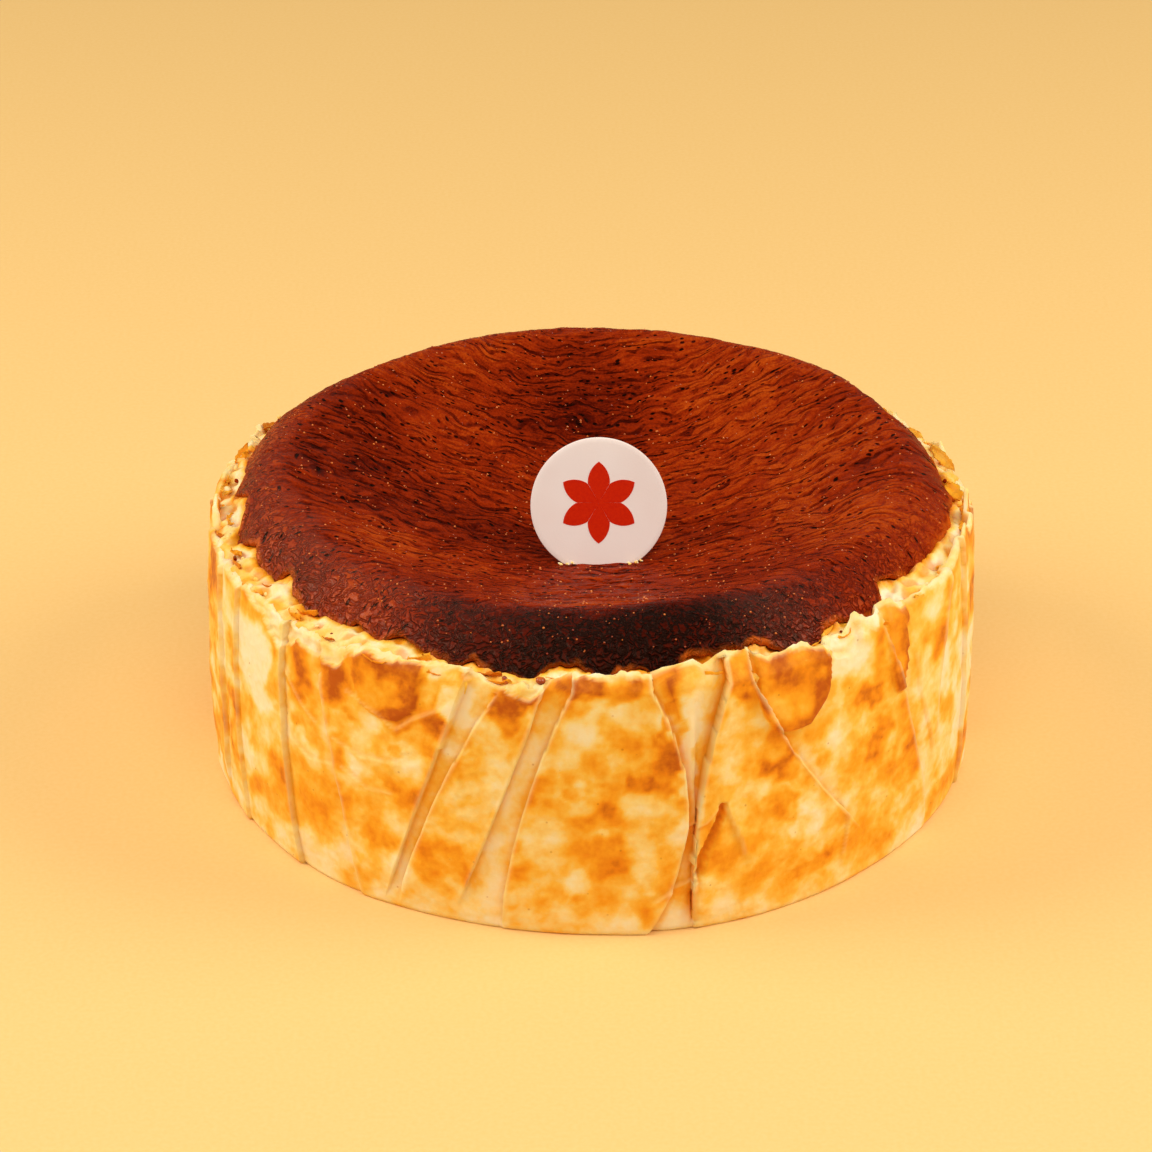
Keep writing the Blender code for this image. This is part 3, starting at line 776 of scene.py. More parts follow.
def custard_material(name, scale, depth=0.25):
    """Baked cheese custard pressed smooth by paper: soft, lets light in, browned in clouds."""
    made, tree, shader, spot = new_material(name)
    browning, edge, groove = stored(tree, "Fac", "browning", "edge", "groove")
    # Clouds of about 8 mm, and streaks of one or two
    clouds = clouded(tree, spot, 130.0, 2.0)
    streaks = clouded(tree, spot, scale, 4.0)
    tone = browning
    for pattern, reach in ((clouds, 0.10), (streaks, 0.09)):
        shift = ranged(tree, pattern, 0.2, 0.8, -reach, reach)
        tone = maths(tree, "ADD", shift, tone)
    colour = add(tree, "ShaderNodeValToRGB", {"Fac": tone}, stops=SKIN_COLOURS)
    # Dark specks about 0.4 mm across, a few millimetres apart
    cells = add(tree, "ShaderNodeTexVoronoi", {"Vector": spot, "Scale": 210.0, "Randomness": 1.0})
    speck = ranged(tree, cells, 0.03, 0.075, 0.45, 0.0)
    # Specks are the custard's own. The groove colour is the painted glow of light through the curd in
    # creases and hollows; the edge colour is paler thin skin with a painted highlight on raised edges
    for share, code in ((speck, "#B86C18"), (groove, "#E68A0C"), (edge, "#FFE6A8")):
        colour = dyed(tree, share, colour, code)
    rough = ranged(tree, clouds, 0.3, 0.7, 0.42, 0.56)
    ripple = clouded(tree, spot, 900.0, 3.0)
    raised = add(tree, "ShaderNodeBump", {"Height": ripple, "Distance": 0.12 * MM, "Strength": 0.8})
    feed(shader, {"Base Color": colour, "Roughness": rough, "Normal": raised})
    feed(shader, {"IOR": 1.42, "Specular IOR Level": 0.3, "Subsurface Weight": depth})
    feed(shader, {"Subsurface Radius": (1.0, 0.72, 0.36), "Subsurface Scale": 1.0 * MM})
    return made


def tinted(name, scale, detail, pale, dark, inputs):
    """A material whose colour drifts between two by a noise, with its shader's other inputs."""
    made, tree, shader, spot = new_material(name)
    drift = clouded(tree, spot, scale, detail)
    colour = add(tree, "ShaderNodeValToRGB", {"Fac": drift}, stops=(pale, dark))
    feed(shader, {"Base Color": colour, **inputs})
    return made, tree, shader, spot


def caramel_material():
    """Beads of caramelised sugar, melted in the oven: glossy, amber to dark brown."""
    stops = (0.35, "#8A2404"), (0.65, "#E07828")
    inputs = {"Roughness": 0.22, "IOR": 1.5}
    return tinted("caramelised sugar, beaded", 260.0, 1.0, *stops, inputs)[0]


def card_material():
    """Uncoated white card, die cut: matt, with a tooth drawn coarser than real so that it shows."""
    stops = (0.3, "#F9E9E2"), (0.7, "#FEF3EE")
    name = "uncoated white card, die cut"
    made, tree, shader, spot = tinted(name, 60.0, 2.0, *stops, {"Roughness": 0.7})
    tooth = clouded(tree, spot, 2600.0, 3.0)
    raised = add(tree, "ShaderNodeBump", {"Height": tooth, "Distance": 0.03 * MM, "Strength": 0.6})
    feed(shader, {"Normal": raised})
    return made


def ink_material():
    """Red offset ink on card: flat colour broken a little by the tooth, drawn coarse to show."""
    stops = (0.3, "#CC1E00"), (0.7, "#D82800")
    inputs = {"Roughness": 0.6, "Specular IOR Level": 0.08}
    return tinted("red offset ink on card", 1800.0, 3.0, *stops, inputs)[0]


def backdrop_material():
    """Seamless studio paper, dyed a pale butter colour: matt and even, its fibre drawn coarse."""
    stops = (0.3, "#F6CB7E"), (0.7, "#F8CF86")
    return tinted("seamless studio paper, dyed", 900.0, 2.0, *stops, {"Roughness": 0.9})[0]


# Burnt crust


def crust_grid(rings):
    """A square grid bent into a disc: the ring and azimuth of each point, and its quads."""
    side = np.arange(-rings, rings + 1)
    i, j = (g.astype(float) for g in np.meshgrid(side, side, indexing="ij"))
    ring = np.maximum(np.abs(i), np.abs(j))
    wide = np.abs(i) >= np.abs(j)
    safe_i = np.where(i == 0.0, 1.0, i)
    safe_j = np.where(j == 0.0, 1.0, j)
    turn = np.where(
        wide,
        0.25 * math.pi * j / safe_i + np.where(i < 0.0, math.pi, 0.0),
        0.5 * math.pi - 0.25 * math.pi * i / safe_j + np.where(j < 0.0, math.pi, 0.0),
    )
    span = 2 * rings + 1
    quads = [
        (a * span + b, (a + 1) * span + b, (a + 1) * span + b + 1, a * span + b + 1)
        for a in range(2 * rings)
        for b in range(2 * rings)
    ]
    return ring.ravel() / rings, np.degrees(turn).ravel() + 90.0, quads


def crust_flow(points):
    """Two sets of coordinates in millimetres: along and across the bowl's strands, and the rim's."""
    flat = points * (1.0, 1.0, 0.0)
    warp = field(flat, 17.0 * MM, 2, 3.0)
    ripple = field(flat, 5.0 * MM, 1, 3.5)
    x, y = points[:, 0], points[:, 1]
    # The strands lie closer together towards the left and right ends
    fan = 1.0 + 0.55 * (x / CREST_RADIUS) ** 2
    bowl = np.stack((x, y / fan + 2.4 * MM * warp + 1.2 * MM * ripple, 0.0 * x), axis=1)
    radius = np.hypot(x, y)
    reach = radius - points[:, 2]
    swirl = 1.6 * MM * field(points, 4.5 * MM, 2, 60.0)
    outward = CREST_RADIUS / radius.clip(MM)
    rim = np.stack((x * outward + swirl, y * outward - swirl, reach), axis=1)
    return bowl / MM, rim / MM


def crust_relief(points, azimuth, radius, flow, around):
    """Fine relief of the crust: long strands, furrows between them, and little pits.

    Also how far each point is on the rim, where the strands give way to leathery wrinkles.
    """
    beyond = radius - crest_place(azimuth)[0] + 3.0 * MM * field(points, 9.0 * MM, 2, 61.0)
    rim = smooth(-5.0 * MM, 5.0 * MM, beyond) * (1.0 - 0.8 * bump(azimuth, *STRANDED_RIM))
    strands = field(flow, (8.0, 1.7, 1.0), 2, 5.0)
    furrow = np.clip(1.0 - 3.2 * np.abs(field(flow, (8.5, 2.1, 1.0), 1, 6.5)), 0.0, 1.0)
    worms = field(around, (1.3, 1.3, 3.6), 2, 12.0)
    flat = points * (1.0, 1.0, 0.0)
    calm = smooth(-0.5, 0.1, field(flat, 24.0 * MM, 2, 15.0) + 0.5 * radius / CREST_RADIUS)
    bowl = (0.45 + 0.55 * calm) * (0.30 * strands - 0.34 * furrow**1.5)
    relief = (1.0 - rim) * bowl + rim * (0.16 * worms - 0.05 * furrow)
    cells = (flow / (3.6, 1.9, 1.0)).tolist()
    pits = np.zeros(len(points))
    for k, cell in enumerate(cells):
        gaps, centres = noise.voronoi(cell, distance_metric="DISTANCE", exponent=2.5)
        chance = noise.cell(centres[0] * 37.0)
        if chance > 0.1:
            pits[k] = max(0.0, 1.0 - gaps[0] / (0.08 + 0.24 * chance))
    pits = np.minimum(1.0, 1.9 * pits)
    relief -= 0.55 * pits
    scar = np.hypot((points[:, 0] - SCAR[0]) / SCAR[2], (points[:, 1] - SCAR[1]) / SCAR[3])
    relief -= 0.7 * (1.0 - smooth(0.4, 1.1, scar)) * (0.8 + strands)
    swell = 0.35 * field(flat, 26.0 * MM, 2, 20.0)
    return (relief + swell) * MM, relief, rim


def make_crust(finish):
    """The burnt top: a sunken disc with a torn, rounded edge, closed underneath."""
    share, azimuth, faces = crust_grid(CRUST_RINGS)
    even = crust_edge(azimuth, ragged=False)
    edge = crust_edge(azimuth)
    radius = share * even + smooth(0.86, 1.0, share) * (edge - even)
    points = round_place(azimuth, radius, top_height(azimuth, radius))

    boundary = np.nonzero(share > 1.0 - 1e-9)[0]
    boundary = boundary[np.argsort(azimuth[boundary] % 360.0)]
    around = azimuth[boundary]
    columns = len(boundary)
    rim_height = top_height(around, edge[boundary])
    chips = 0.45 * torn_line(around, 4.0 * MM, 31.0)
    rings = []
    thick = CRUST_THICKNESS * (1.0 + chips)
    for out, down in EDGE_ROLL:
        rings.append((edge[boundary] + CRUST_OVERHANG * out, rim_height - thick * down))
    for inward, down in UNDERSIDE:
        rings.append((edge[boundary] - inward * MM, rim_height - CRUST_THICKNESS * down))
    rings.append((edge[boundary] - 16.0 * MM, np.full(columns, BOWL_HEIGHT - 5.0 * MM)))
    start = len(points)
    loop = list(boundary)
    new_faces = []
    extra = []
    for ring, (r, h) in enumerate(rings):
        extra.append(round_place(around, r, h))
        first = start + ring * columns
        for k in range(columns):
            after = (k + 1) % columns
            new_faces.append((int(loop[k]), first + k, first + after, int(loop[after])))
        loop = [first + k for k in range(columns)]
    new_faces.append(tuple(reversed(loop)))
    made = piece("burnt_crust", np.concatenate([points, *extra]), faces + new_faces, finish)

    spots = places(made)
    azimuth, radius = polar(spots)
    flow, around = crust_flow(spots)
    heights, relief, rim = crust_relief(spots, azimuth, radius, flow, around)
    inner = np.arange(len(spots)) >= start + len(EDGE_ROLL) * columns
    heights[inner] = 0.0
    at_edge = np.concatenate([smooth(0.978, 1.0, share), np.ones(columns * len(rings))])
    heights = heights * (1.0 - 0.45 * at_edge)
    displace(made, heights)
    # Darkest down the front slope, charred there and painted with shade, and in broad patches;
    # browner where the rim faces sideways
    front = bump(azimuth, *CHARRED_AND_SHADED_RIM)
    right = spots[:, 0] / CREST_RADIUS
    broad = field(spots * (1.0, 1.0, 0.0), 30.0 * MM, 2, 24.0)
    char_and_shade = rim * (0.42 * front - 0.10 * (1.0 - front) + 0.05 * np.clip(right, -1.0, 1.0))
    char_and_shade = char_and_shade + 0.13 * broad - 0.05 * right
    # The bowl's darker spots, the first of them painted shade
    for x, y, wide, deep, darker in SHADES:
        across, back = bump(spots[:, 0], x * MM, wide * MM), bump(spots[:, 1], y * MM, deep * MM)
        char_and_shade += darker * across * back
    glossy = np.maximum(bump(azimuth, *LEFT_SHEEN), 0.7 * bump(azimuth, *RIGHT_SHEEN))
    store(made, "sheen", 0.06 + rim * (0.07 + 0.80 * glossy))
    store(made, "relief", np.clip(0.5 + 0.9 * relief, 0.0, 1.0))
    store(made, "char_and_shade", char_and_shade)
    store(made, "rim", rim)
    store(made, "flow", flow)
    store(made, "around", around)
    ring_number = np.concatenate([np.full(start, -1.0), np.repeat(np.arange(len(rings)), columns)])
    edge_mark = np.where(ring_number >= 3, 0.8, np.where(ring_number >= 1, 0.3, 0.0))
    glow = 0.5 + field(spots, 7.0 * MM, 2, 63.0)
    edge_mark = np.maximum(edge_mark, 0.8 * np.clip(1.4 * glow - 0.4, 0.0, 1.0) * at_edge**24)
    store(made, "edge", edge_mark)
    return made


# Golden side


def column_plan():
    """(fold index, share of the way to the next fold) for each column of the wall."""
    plan = []
    for i, fold in enumerate(FOLDS):
        after = FOLDS[(i + 1) % len(FOLDS)]
        middle = crease(after, 0.5) - crease(fold, 0.5)
        width = math.radians(middle % 360.0) * FOOT_RADIUS
        seen = abs(turned(crease(fold, 0.5))) < FINE_MESH_TO
        inner = max(2, round(width / (COLUMN_SPACING if seen else REAR_SPACING)) - 1)
        side = min(0.2, CREASE_GAP / width)
        shares = [side + (1.0 - 2.0 * side) * k / (inner + 1) for k in range(inner + 2)]
        plan += [(i, s) for s in shares]
    return plan


def column_azimuth(plan, height):
    """Azimuth of every column at a height: the columns follow the creases."""
    share = min(1.0, max(0.0, height / WALL_HEIGHT))
    creases = [crease(fold, share) for fold in FOLDS]
    creases.append(creases[0] + 360.0)
    return np.array([creases[i] + s * (creases[i + 1] - creases[i]) for i, s in plan])


def make_side(finish):
    """The golden wall and the base: rings from the base's centre out, up the wall and over."""
    plan = column_plan()
    columns = len(plan)
    azimuth = column_azimuth(plan, 0.0)
    foot = wall_radius(azimuth, 0.0)
    base = np.zeros(columns)
    rings = [(azimuth, share * (foot - FOOT_ROUND), base) for share in (0.0, 0.5, 0.88, 1.0)]
    rings.append((azimuth, foot - 0.3 * FOOT_ROUND, base + 0.3 * FOOT_ROUND))
    for row in range(WALL_ROWS + 1):
        share = FIRST_ROW + (1.0 - FIRST_ROW) * row / WALL_ROWS
        azimuth = column_azimuth(plan, share * WALL_HEIGHT)
        top = skin_top(azimuth) - 0.5 * MM
        height = share * WALL_HEIGHT + smooth(0.6, 1.0, share) * (top - WALL_HEIGHT)
        radius = wall_radius(azimuth, np.minimum(height, WALL_HEIGHT)) - lip_lean(azimuth, height)
        rings.append((azimuth, radius, height))
    azimuth = column_azimuth(plan, WALL_HEIGHT)
    top = skin_top(azimuth)
    lip = wall_radius(azimuth, np.minimum(top, WALL_HEIGHT)) - lip_lean(azimuth, top)
    thin = SKIN_THICKNESS * (1.0 - 0.5 * smooth(1.0 * MM, 4.0 * MM, top - WALL_HEIGHT))
    for inward, down in LIP_ROLL:
        rings.append((azimuth, lip - inward * thin, top - down * MM))
    points = np.concatenate([round_place(*ring) for ring in rings])
    faces = []
    for row in range(len(rings) - 1):
        faces += strip(row * columns, (row + 1) * columns, columns)
    faces.append(tuple(range((len(rings) - 1) * columns, len(rings) * columns)))
    made = piece("golden_side", points, faces, finish)
    weld(made, columns)

    spots = places(made)
    azimuth = polar(spots)[0]
    share = np.clip(spots[:, 2] / WALL_HEIGHT, 0.0, 1.0)
    on_wall = smooth(0.0, 1.5 * MM, spots[:, 2])
    tuck, proud, rim, groove = fold_marks(azimuth, share)[1:]
    pressed, raised, torn_open = line_marks(azimuth, spots[:, 2])
    slit = np.clip(-pressed / (1.4 * MM), 0.0, 1.0)
    bare, below_tear = skin_torn(azimuth, spots[:, 2])
    rim, groove = rim + raised, groove + torn_open
    lumps = 0.34 * field(spots, 11.0 * MM, 2, 1.0)
    lumps += 0.12 * field(spots, (2.2 * MM, 2.2 * MM, 1.6 * MM), 2, 2.0)
    lines = np.abs(field(spots, (12.0 * MM, 12.0 * MM, 8.0 * MM), 2, 4.0))
    lines = np.clip(1.0 - 11.0 * lines, 0.0, 1.0)
    crimp = 0.20 * lines**2 * smooth(-0.1, 0.4, field(spots, 20.0 * MM, 1, 7.0))
    torn = bare * (0.55 * field(spots, 2.8 * MM, 2, 9.0) + 0.35 * field(spots, 1.3 * MM, 2, 9.5))
    displace(made, (lumps + crimp + torn + 0.26 * rim) * MM * on_wall)

    mottle = field(spots, 6.5 * MM, 3, 33.0)
    clouds = field(spots, (14.0 * MM, 14.0 * MM, 12.0 * MM), 3, 30.0)
    clouds = 0.9 * smooth(-0.55, 0.55, clouds + 0.35 * mottle) - 0.45
    panel = field(spots * (1.0, 1.0, 0.25), 34.0 * MM, 1, 36.0)
    seen = 1.0 - smooth(52.0, 66.0, np.abs(turned(azimuth)))
    brown = 0.41 + (0.50 - 0.21 * seen) * clouds + 0.21 * mottle + (0.16 - 0.10 * seen) * panel
    brown += browned(azimuth, spots)
    brown += 0.16 * np.clip(proud, 0.0, 1.0) * (0.6 + mottle)
    under_lip = bump(np.maximum(below_tear, 0.0), 0.0, 5.0)
    brown += (0.42 - 0.20 * seen) * under_lip * (0.5 + field(spots, 12.0 * MM, 2, 40.0))
    brown -= 0.15 * np.clip(tuck, 0.0, 1.0) * (1.0 - np.clip(groove, 0.0, 1.0))
    brown -= 0.16 * (1.0 - smooth(0.0, 0.16, share))
    flaps, flap_edge = flap_marks(azimuth, spots[:, 2])
    # Browner on the flaps, and painted shade along their edges
    brown = brown + 0.32 * np.clip(flaps / MM, 0.0, 1.0) + 0.42 * flap_edge
    pale = 0.16 + 0.22 * field(spots, 4.0 * MM, 2, 47.0)
    brown += (pale - brown) * bare
    # Painted shade down the open tear
    brown += (0.80 - brown) * slit
    store(made, "browning", np.clip(brown, 0.02, 0.96))
    tear_line = bump(below_tear, 0.0, 0.35)
    # Paler on lapped edges and raised lines, thinner skin with a painted highlight, and along the
    # skin's torn edge
    store(made, "edge", np.clip(0.55 * rim + 0.45 * tear_line, 0.0, 1.0))
    # Painted glow of light through the curd in creases, tears and under laps, none in the open slit
    groove = np.clip(0.72 * groove + 0.12 * np.clip(tuck, 0.0, 1.0), 0.0, 1.0)
    store(made, "groove", groove * (1.0 - slit))
    return made


def browned(azimuth, spots):
    """The browned and pale patches that the photo shows, with wandering soft edges."""
    shift = [
        3.2 * MM * field(spots, 7.0 * MM, 2, coarse) + 1.3 * MM * field(spots, 2.6 * MM, 2, fine)
        for coarse, fine in ((70.0, 76.0), (73.0, 79.0))
    ]
    total = np.zeros(len(azimuth))
    for middle, level, half_width, half_height, strength in BROWNED:
        across = along_wall(azimuth - middle) + shift[0]
        up = spots[:, 2] - level * MM + shift[1]
        reach = np.hypot(across / (half_width * MM), up / (half_height * MM))
        weight = 1.05 * strength if strength > 0.0 else 0.9 * strength
        total += weight * (1.0 - smooth(0.6, 1.25, reach))
    return total


# Curd shoulder


def make_shoulder(finish):
    """The pale torn curd between the wall's lip and the crust's edge."""
    azimuth = np.arange(SHOULDER_COLUMNS) * 360.0 / SHOULDER_COLUMNS
    edge = crust_edge(azimuth, ragged=False)
    inner = edge - 7.0 * MM
    top = np.minimum(skin_top(azimuth), WALL_HEIGHT)
    outer = wall_radius(azimuth, top) - 0.7 * SKIN_THICKNESS
    edge_height = top_height(azimuth, edge)
    rings = []
    for row in range(SHOULDER_ROWS + 1):
        t = row / SHOULDER_ROWS
        radius = inner + (outer - inner) * t
        under = top_height(azimuth, np.minimum(radius, edge)) - CRUST_THICKNESS
        past = np.clip((radius - edge) / np.maximum(outer - edge, 0.5 * MM), 0.0, 1.0)
        height = under + (top - 0.4 * MM - (edge_height - CRUST_THICKNESS)) * past
        rings.append((azimuth, radius, height))
    rings.append((azimuth, outer, top - 3.0 * MM))
    rings.append((azimuth, outer - 1.0 * MM, top - 8.0 * MM))
    rings.append((azimuth, inner, top - 8.0 * MM))
    points = np.concatenate([round_place(*ring) for ring in rings])
    faces = []
    for row in range(len(rings)):
        after = (row + 1) % len(rings)
        faces += strip(after * SHOULDER_COLUMNS, row * SHOULDER_COLUMNS, SHOULDER_COLUMNS)
    made = piece("curd_shoulder", points, faces, finish)
    spots = places(made)
    lumps = field(spots, 5.0 * MM, 2, 50.0)
    flaky = 1.0 - 2.2 * np.abs(field(spots, (4.4 * MM, 4.4 * MM, 2.6 * MM), 2, 53.0))
    row = np.repeat(np.arange(len(rings)) / SHOULDER_ROWS, SHOULDER_COLUMNS)
    show = np.where(row > 1.0, 0.0, 1.0)
    row = np.minimum(row, 1.0)
    azimuth, radius = polar(spots)
    past = (radius - crust_edge(azimuth)) / MM
    clear = smooth(-1.2, 0.8, past)
    displace(made, ((1.1 * lumps + 0.55 * flaky) * clear - 2.2 * (1.0 - clear)) * MM * show)
    brown = 0.14 + 0.30 * field(spots, 6.0 * MM, 2, 56.0) + 0.20 * np.clip(lumps, 0.0, 1.0)
    brown = brown + 0.55 * (1.0 - smooth(0.2, 2.2, past)) + 0.22 * smooth(0.75, 1.0, row)
    store(made, "browning", np.clip(brown, 0.0, 1.0))
    # Paler on the flakes' crests, and the painted glow of light through the curd in the hollows
    # between them
    store(made, "edge", np.clip(0.5 * (flaky - 0.6), 0.0, 0.5))
    store(made, "groove", np.clip(0.5 - 1.3 * flaky, 0.0, 0.6) * show)
    return made


# Topper card


def topper_place():
    """Matrix from the card's own plane (x across, y up the card, z out of its face) to its place."""
    low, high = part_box("topper")
    centre = (low + high) * 0.5
    radius = 0.5 * (high.x - low.x)
    turn = Matrix.Rotation(0.5 * math.pi - TOPPER_LEAN, 4, "X")
    return Matrix.Translation(centre) @ turn, radius


def make_topper(finish):
    """The card: half of its section from the face's centre to the edge, mirrored, turned round."""
    place, radius = topper_place()
    half = 0.5 * TOPPER_THICKNESS
    section = [
        (0.0, half),
        (0.55 * radius, half),
        (radius - 1.2 * MM, half),
        (radius - TOPPER_EDGE, half),
        (radius - 0.3 * TOPPER_EDGE, half - 0.3 * TOPPER_EDGE),
        (radius, half - TOPPER_EDGE),
    ]
    profile = section + [(radius, 0.0)] + [(r, -z) for r, z in reversed(section)]
    points = []
    for r, z in profile:
        for a in np.linspace(0.0, 2.0 * math.pi, CARD_SEGMENTS, endpoint=False):
            points.append(tuple(place @ Vector((r * math.cos(a), r * math.sin(a), z))))
    faces = []
    for row in range(len(profile) - 1):
        faces += strip((row + 1) * CARD_SEGMENTS, row * CARD_SEGMENTS, CARD_SEGMENTS)
    made = piece("topper_card", points, faces, finish)
    weld(made)
    return made


# Small things, each grown by a Geometry Nodes tree


def new_tree(name, sockets):
    """An empty geometry tree with named inputs: the tree and its input and output nodes."""
    tree = bpy.data.node_groups.new(name, "GeometryNodeTree")
    for label, kind in (("Geometry", "Geometry"), *sockets):
        tree.interface.new_socket(label, in_out="INPUT", socket_type="NodeSocket" + kind)
    tree.interface.new_socket("Geometry", in_out="OUTPUT", socket_type="NodeSocketGeometry")
    return tree, add(tree, "NodeGroupInput").outputs


def close_tree(tree, given, placed):
    """Ends a tree as the export needs: real geometry of the given material."""
    real = add(tree, "GeometryNodeRealizeInstances", {"Geometry": placed})
    finish = {"Geometry": real, "Material": given["Material"]}
    finish = add(tree, "GeometryNodeSetMaterial", finish)
    add(tree, "NodeGroupOutput", {"Geometry": finish})
    return tree


def grown(name, guide, tree, values):
    """The plain mesh object that a tree makes from a guide mesh, with the modifier gone."""
    modifier = guide.modifiers.new("grow", "NODES")
    modifier.node_group = tree
    for socket in tree.interface.items_tree:
        if socket.in_out == "INPUT" and socket.name in values:
            modifier[socket.identifier] = values[socket.name]
    ready = guide.evaluated_get(bpy.context.evaluated_depsgraph_get())
    mesh = bpy.data.meshes.new_from_object(ready)
    guide.modifiers.remove(modifier)
    mesh.name = name
    return object_of(name, mesh)


def path_through(name, points):
    """A helper object for a tree to read: points joined in order."""
    return object_of(name, mesh_of(name, points, [(k, k + 1) for k in range(len(points) - 1)]))


def drop(*things):
    """Removes helper objects once their trees have been read."""
    for thing in things:
        bpy.data.objects.remove(thing)


SCATTER_INPUTS = (
    ("Pieces", "Collection"),
    ("Count", "Int"),
    ("Wander", "Vector"),
    ("Tilt", "Float"),
    ("Smallest", "Float"),
    ("Largest", "Float"),
    ("Palest", "Float"),
    ("Darkest", "Float"),
    ("Seed", "Int"),
    ("Material", "Material"),
    ("Shade Name", "String"),
)


def scatter_tree():
    """Puts turned, sized copies of a collection's pieces along an edge path, a little off it."""
    tree, given = new_tree("scatter along a path", SCATTER_INPUTS)
    seed, reach, tilt = given["Seed"], given["Wander"], given["Tilt"]
    path = add(tree, "GeometryNodeMeshToCurve", {"Mesh": given["Geometry"]})
    path = add(tree, "GeometryNodeResampleCurve", {"Curve": path, "Count": given["Count"]})
    spots = add(tree, "GeometryNodeCurveToPoints", {"Curve": path}, mode="EVALUATED")
    back = add(tree, "ShaderNodeVectorMath", {0: reach, "Scale": -1.0}, operation="SCALE")
    wander = drawn(tree, back, reach, seed, "FLOAT_VECTOR")
    moved = add(tree, "GeometryNodeSetPosition", {"Geometry": spots, "Offset": wander})
    faced = {"Vector": add(tree, "GeometryNodeInputPosition")}
    faced = add(tree, "FunctionNodeAlignRotationToVector", faced, axis="Y", pivot_axis="Z")
    down = maths(tree, "MULTIPLY", tilt, -1.0)
    low, high = (add(tree, "ShaderNodeCombineXYZ", {0: t, 1: t, 2: t}) for t in (down, tilt))
    turn = drawn(tree, low, high, seed, "FLOAT_VECTOR")
    turn = add(tree, "FunctionNodeEulerToRotation", {0: turn})
    turn = {"Rotation": faced, "Rotate By": turn}
    turn = add(tree, "FunctionNodeRotateRotation", turn, rotation_space="LOCAL")
    size = drawn(tree, given["Smallest"], given["Largest"], seed)
    shade = drawn(tree, given["Palest"], given["Darkest"], SHADE_SEED)
    kinds = {"Collection": given["Pieces"], "Separate Children": True, "Reset Children": True}
    kinds = add(tree, "GeometryNodeCollectionInfo", kinds)
    placed = {"Points": moved, "Instance": kinds, "Pick Instance": True}
    placed.update({"Rotation": turn, "Scale": size})
    placed = add(tree, "GeometryNodeInstanceOnPoints", placed)
    shaded = {"Geometry": placed, "Name": given["Shade Name"], "Value": shade}
    kept = {"data_type": "FLOAT", "domain": "INSTANCE"}
    shaded = add(tree, "GeometryNodeStoreNamedAttribute", shaded, **kept)
    return close_tree(tree, given, shaded)


def blister_tree():
    """Puts little balls of caramel over the upper side of a shell."""
    sockets = ("Density", "Float"), ("Radius", "Float"), ("Seed", "Int"), ("Material", "Material")
    tree, given = new_tree("blisters over a surface", sockets)
    facing = add(tree, "ShaderNodeSeparateXYZ", {0: add(tree, "GeometryNodeInputNormal")})
    upper = {0: facing.outputs["Z"], 1: 0.1}
    upper = add(tree, "FunctionNodeCompare", upper, operation="GREATER_THAN")
    spots = {"Mesh": given["Geometry"], "Selection": upper}
    spots.update({"Density": given["Density"], "Seed": given["Seed"]})
    spots = add(tree, "GeometryNodeDistributePointsOnFaces", spots)
    ball = {"Segments": 8, "Rings": 5, "Radius": given["Radius"]}
    ball = add(tree, "GeometryNodeMeshUVSphere", ball)
    ball = add(tree, "GeometryNodeSetShadeSmooth", {"Geometry": ball})
    size = drawn(tree, 0.45, 1.25, given["Seed"])
    placed = {"Points": spots, "Instance": ball, "Scale": size}
    return close_tree(tree, given, add(tree, "GeometryNodeInstanceOnPoints", placed))


def rosette_tree():
    """Turns copies of one petal evenly round a centre."""
    sockets = ("Petals", "Int"), ("Material", "Material")
    tree, given = new_tree("petals round a centre", sockets)
    spots = add(tree, "GeometryNodePoints", {"Count": given["Petals"]})
    number = add(tree, "GeometryNodeInputIndex")
    step = maths(tree, "DIVIDE", 2.0 * math.pi, given["Petals"])
    angle = maths(tree, "MULTIPLY", number, step)
    turn = add(tree, "ShaderNodeCombineXYZ", {"Z": angle})
    turn = add(tree, "FunctionNodeEulerToRotation", {0: turn})
    placed = {"Points": spots, "Instance": given["Geometry"], "Rotation": turn}
    return close_tree(tree, given, add(tree, "GeometryNodeInstanceOnPoints", placed))


def flake(number, draw):
    """One torn, curled flake of baked skin lying along X, pointed at both ends."""
    length, depth = draw.uniform(6.0, 11.0) * MM, draw.uniform(2.6, 4.4) * MM
    curl = draw.uniform(0.8, 2.0) * MM
    across, along = 9, 17
    top = []
    for j in range(across):
        v = j / (across - 1) - 0.5
        for i in range(along):
            u = i / (along - 1) - 0.5
            ragged = 1.0 + 0.35 * noise.noise((9.0 * u, 3.0 * v, 4.0 * number))
            narrow = (1.0 - (2.0 * abs(u)) ** 2.2) * 0.85 + 0.15
            x = u * length * (1.0 + 0.3 * noise.noise((3.0 * u, 6.0 * v, 7.0 * number)))
            y = v * depth * ragged * narrow
            z = curl * (3.4 * max(0.0, v) ** 2 + 0.8 * u * u)
            z += 0.7 * MM * noise.noise((5.0 * u, 4.0 * v, 9.0 + number))
            top.append((x, y, z))
    points = top + [(0.97 * x, 0.97 * y, z - FLAKE_THICKNESS) for x, y, z in top]
    count = len(top)
    faces = []
    for j in range(across - 1):
        for i in range(along - 1):
            a, b = j * along + i, (j + 1) * along + i
            faces += [(a, a + 1, b + 1, b), (count + b, count + b + 1, count + a + 1, count + a)]
    rim = [*range(along), *range(2 * along - 1, across * along, along)]
    rim += [*range(across * along - 2, (across - 1) * along - 1, -1)]
    rim += [*range((across - 2) * along, 0, -along)]
    for a, b in zip(rim, rim[1:] + rim[:1]):
        faces.append((b, a, count + a, count + b))
    return points, faces


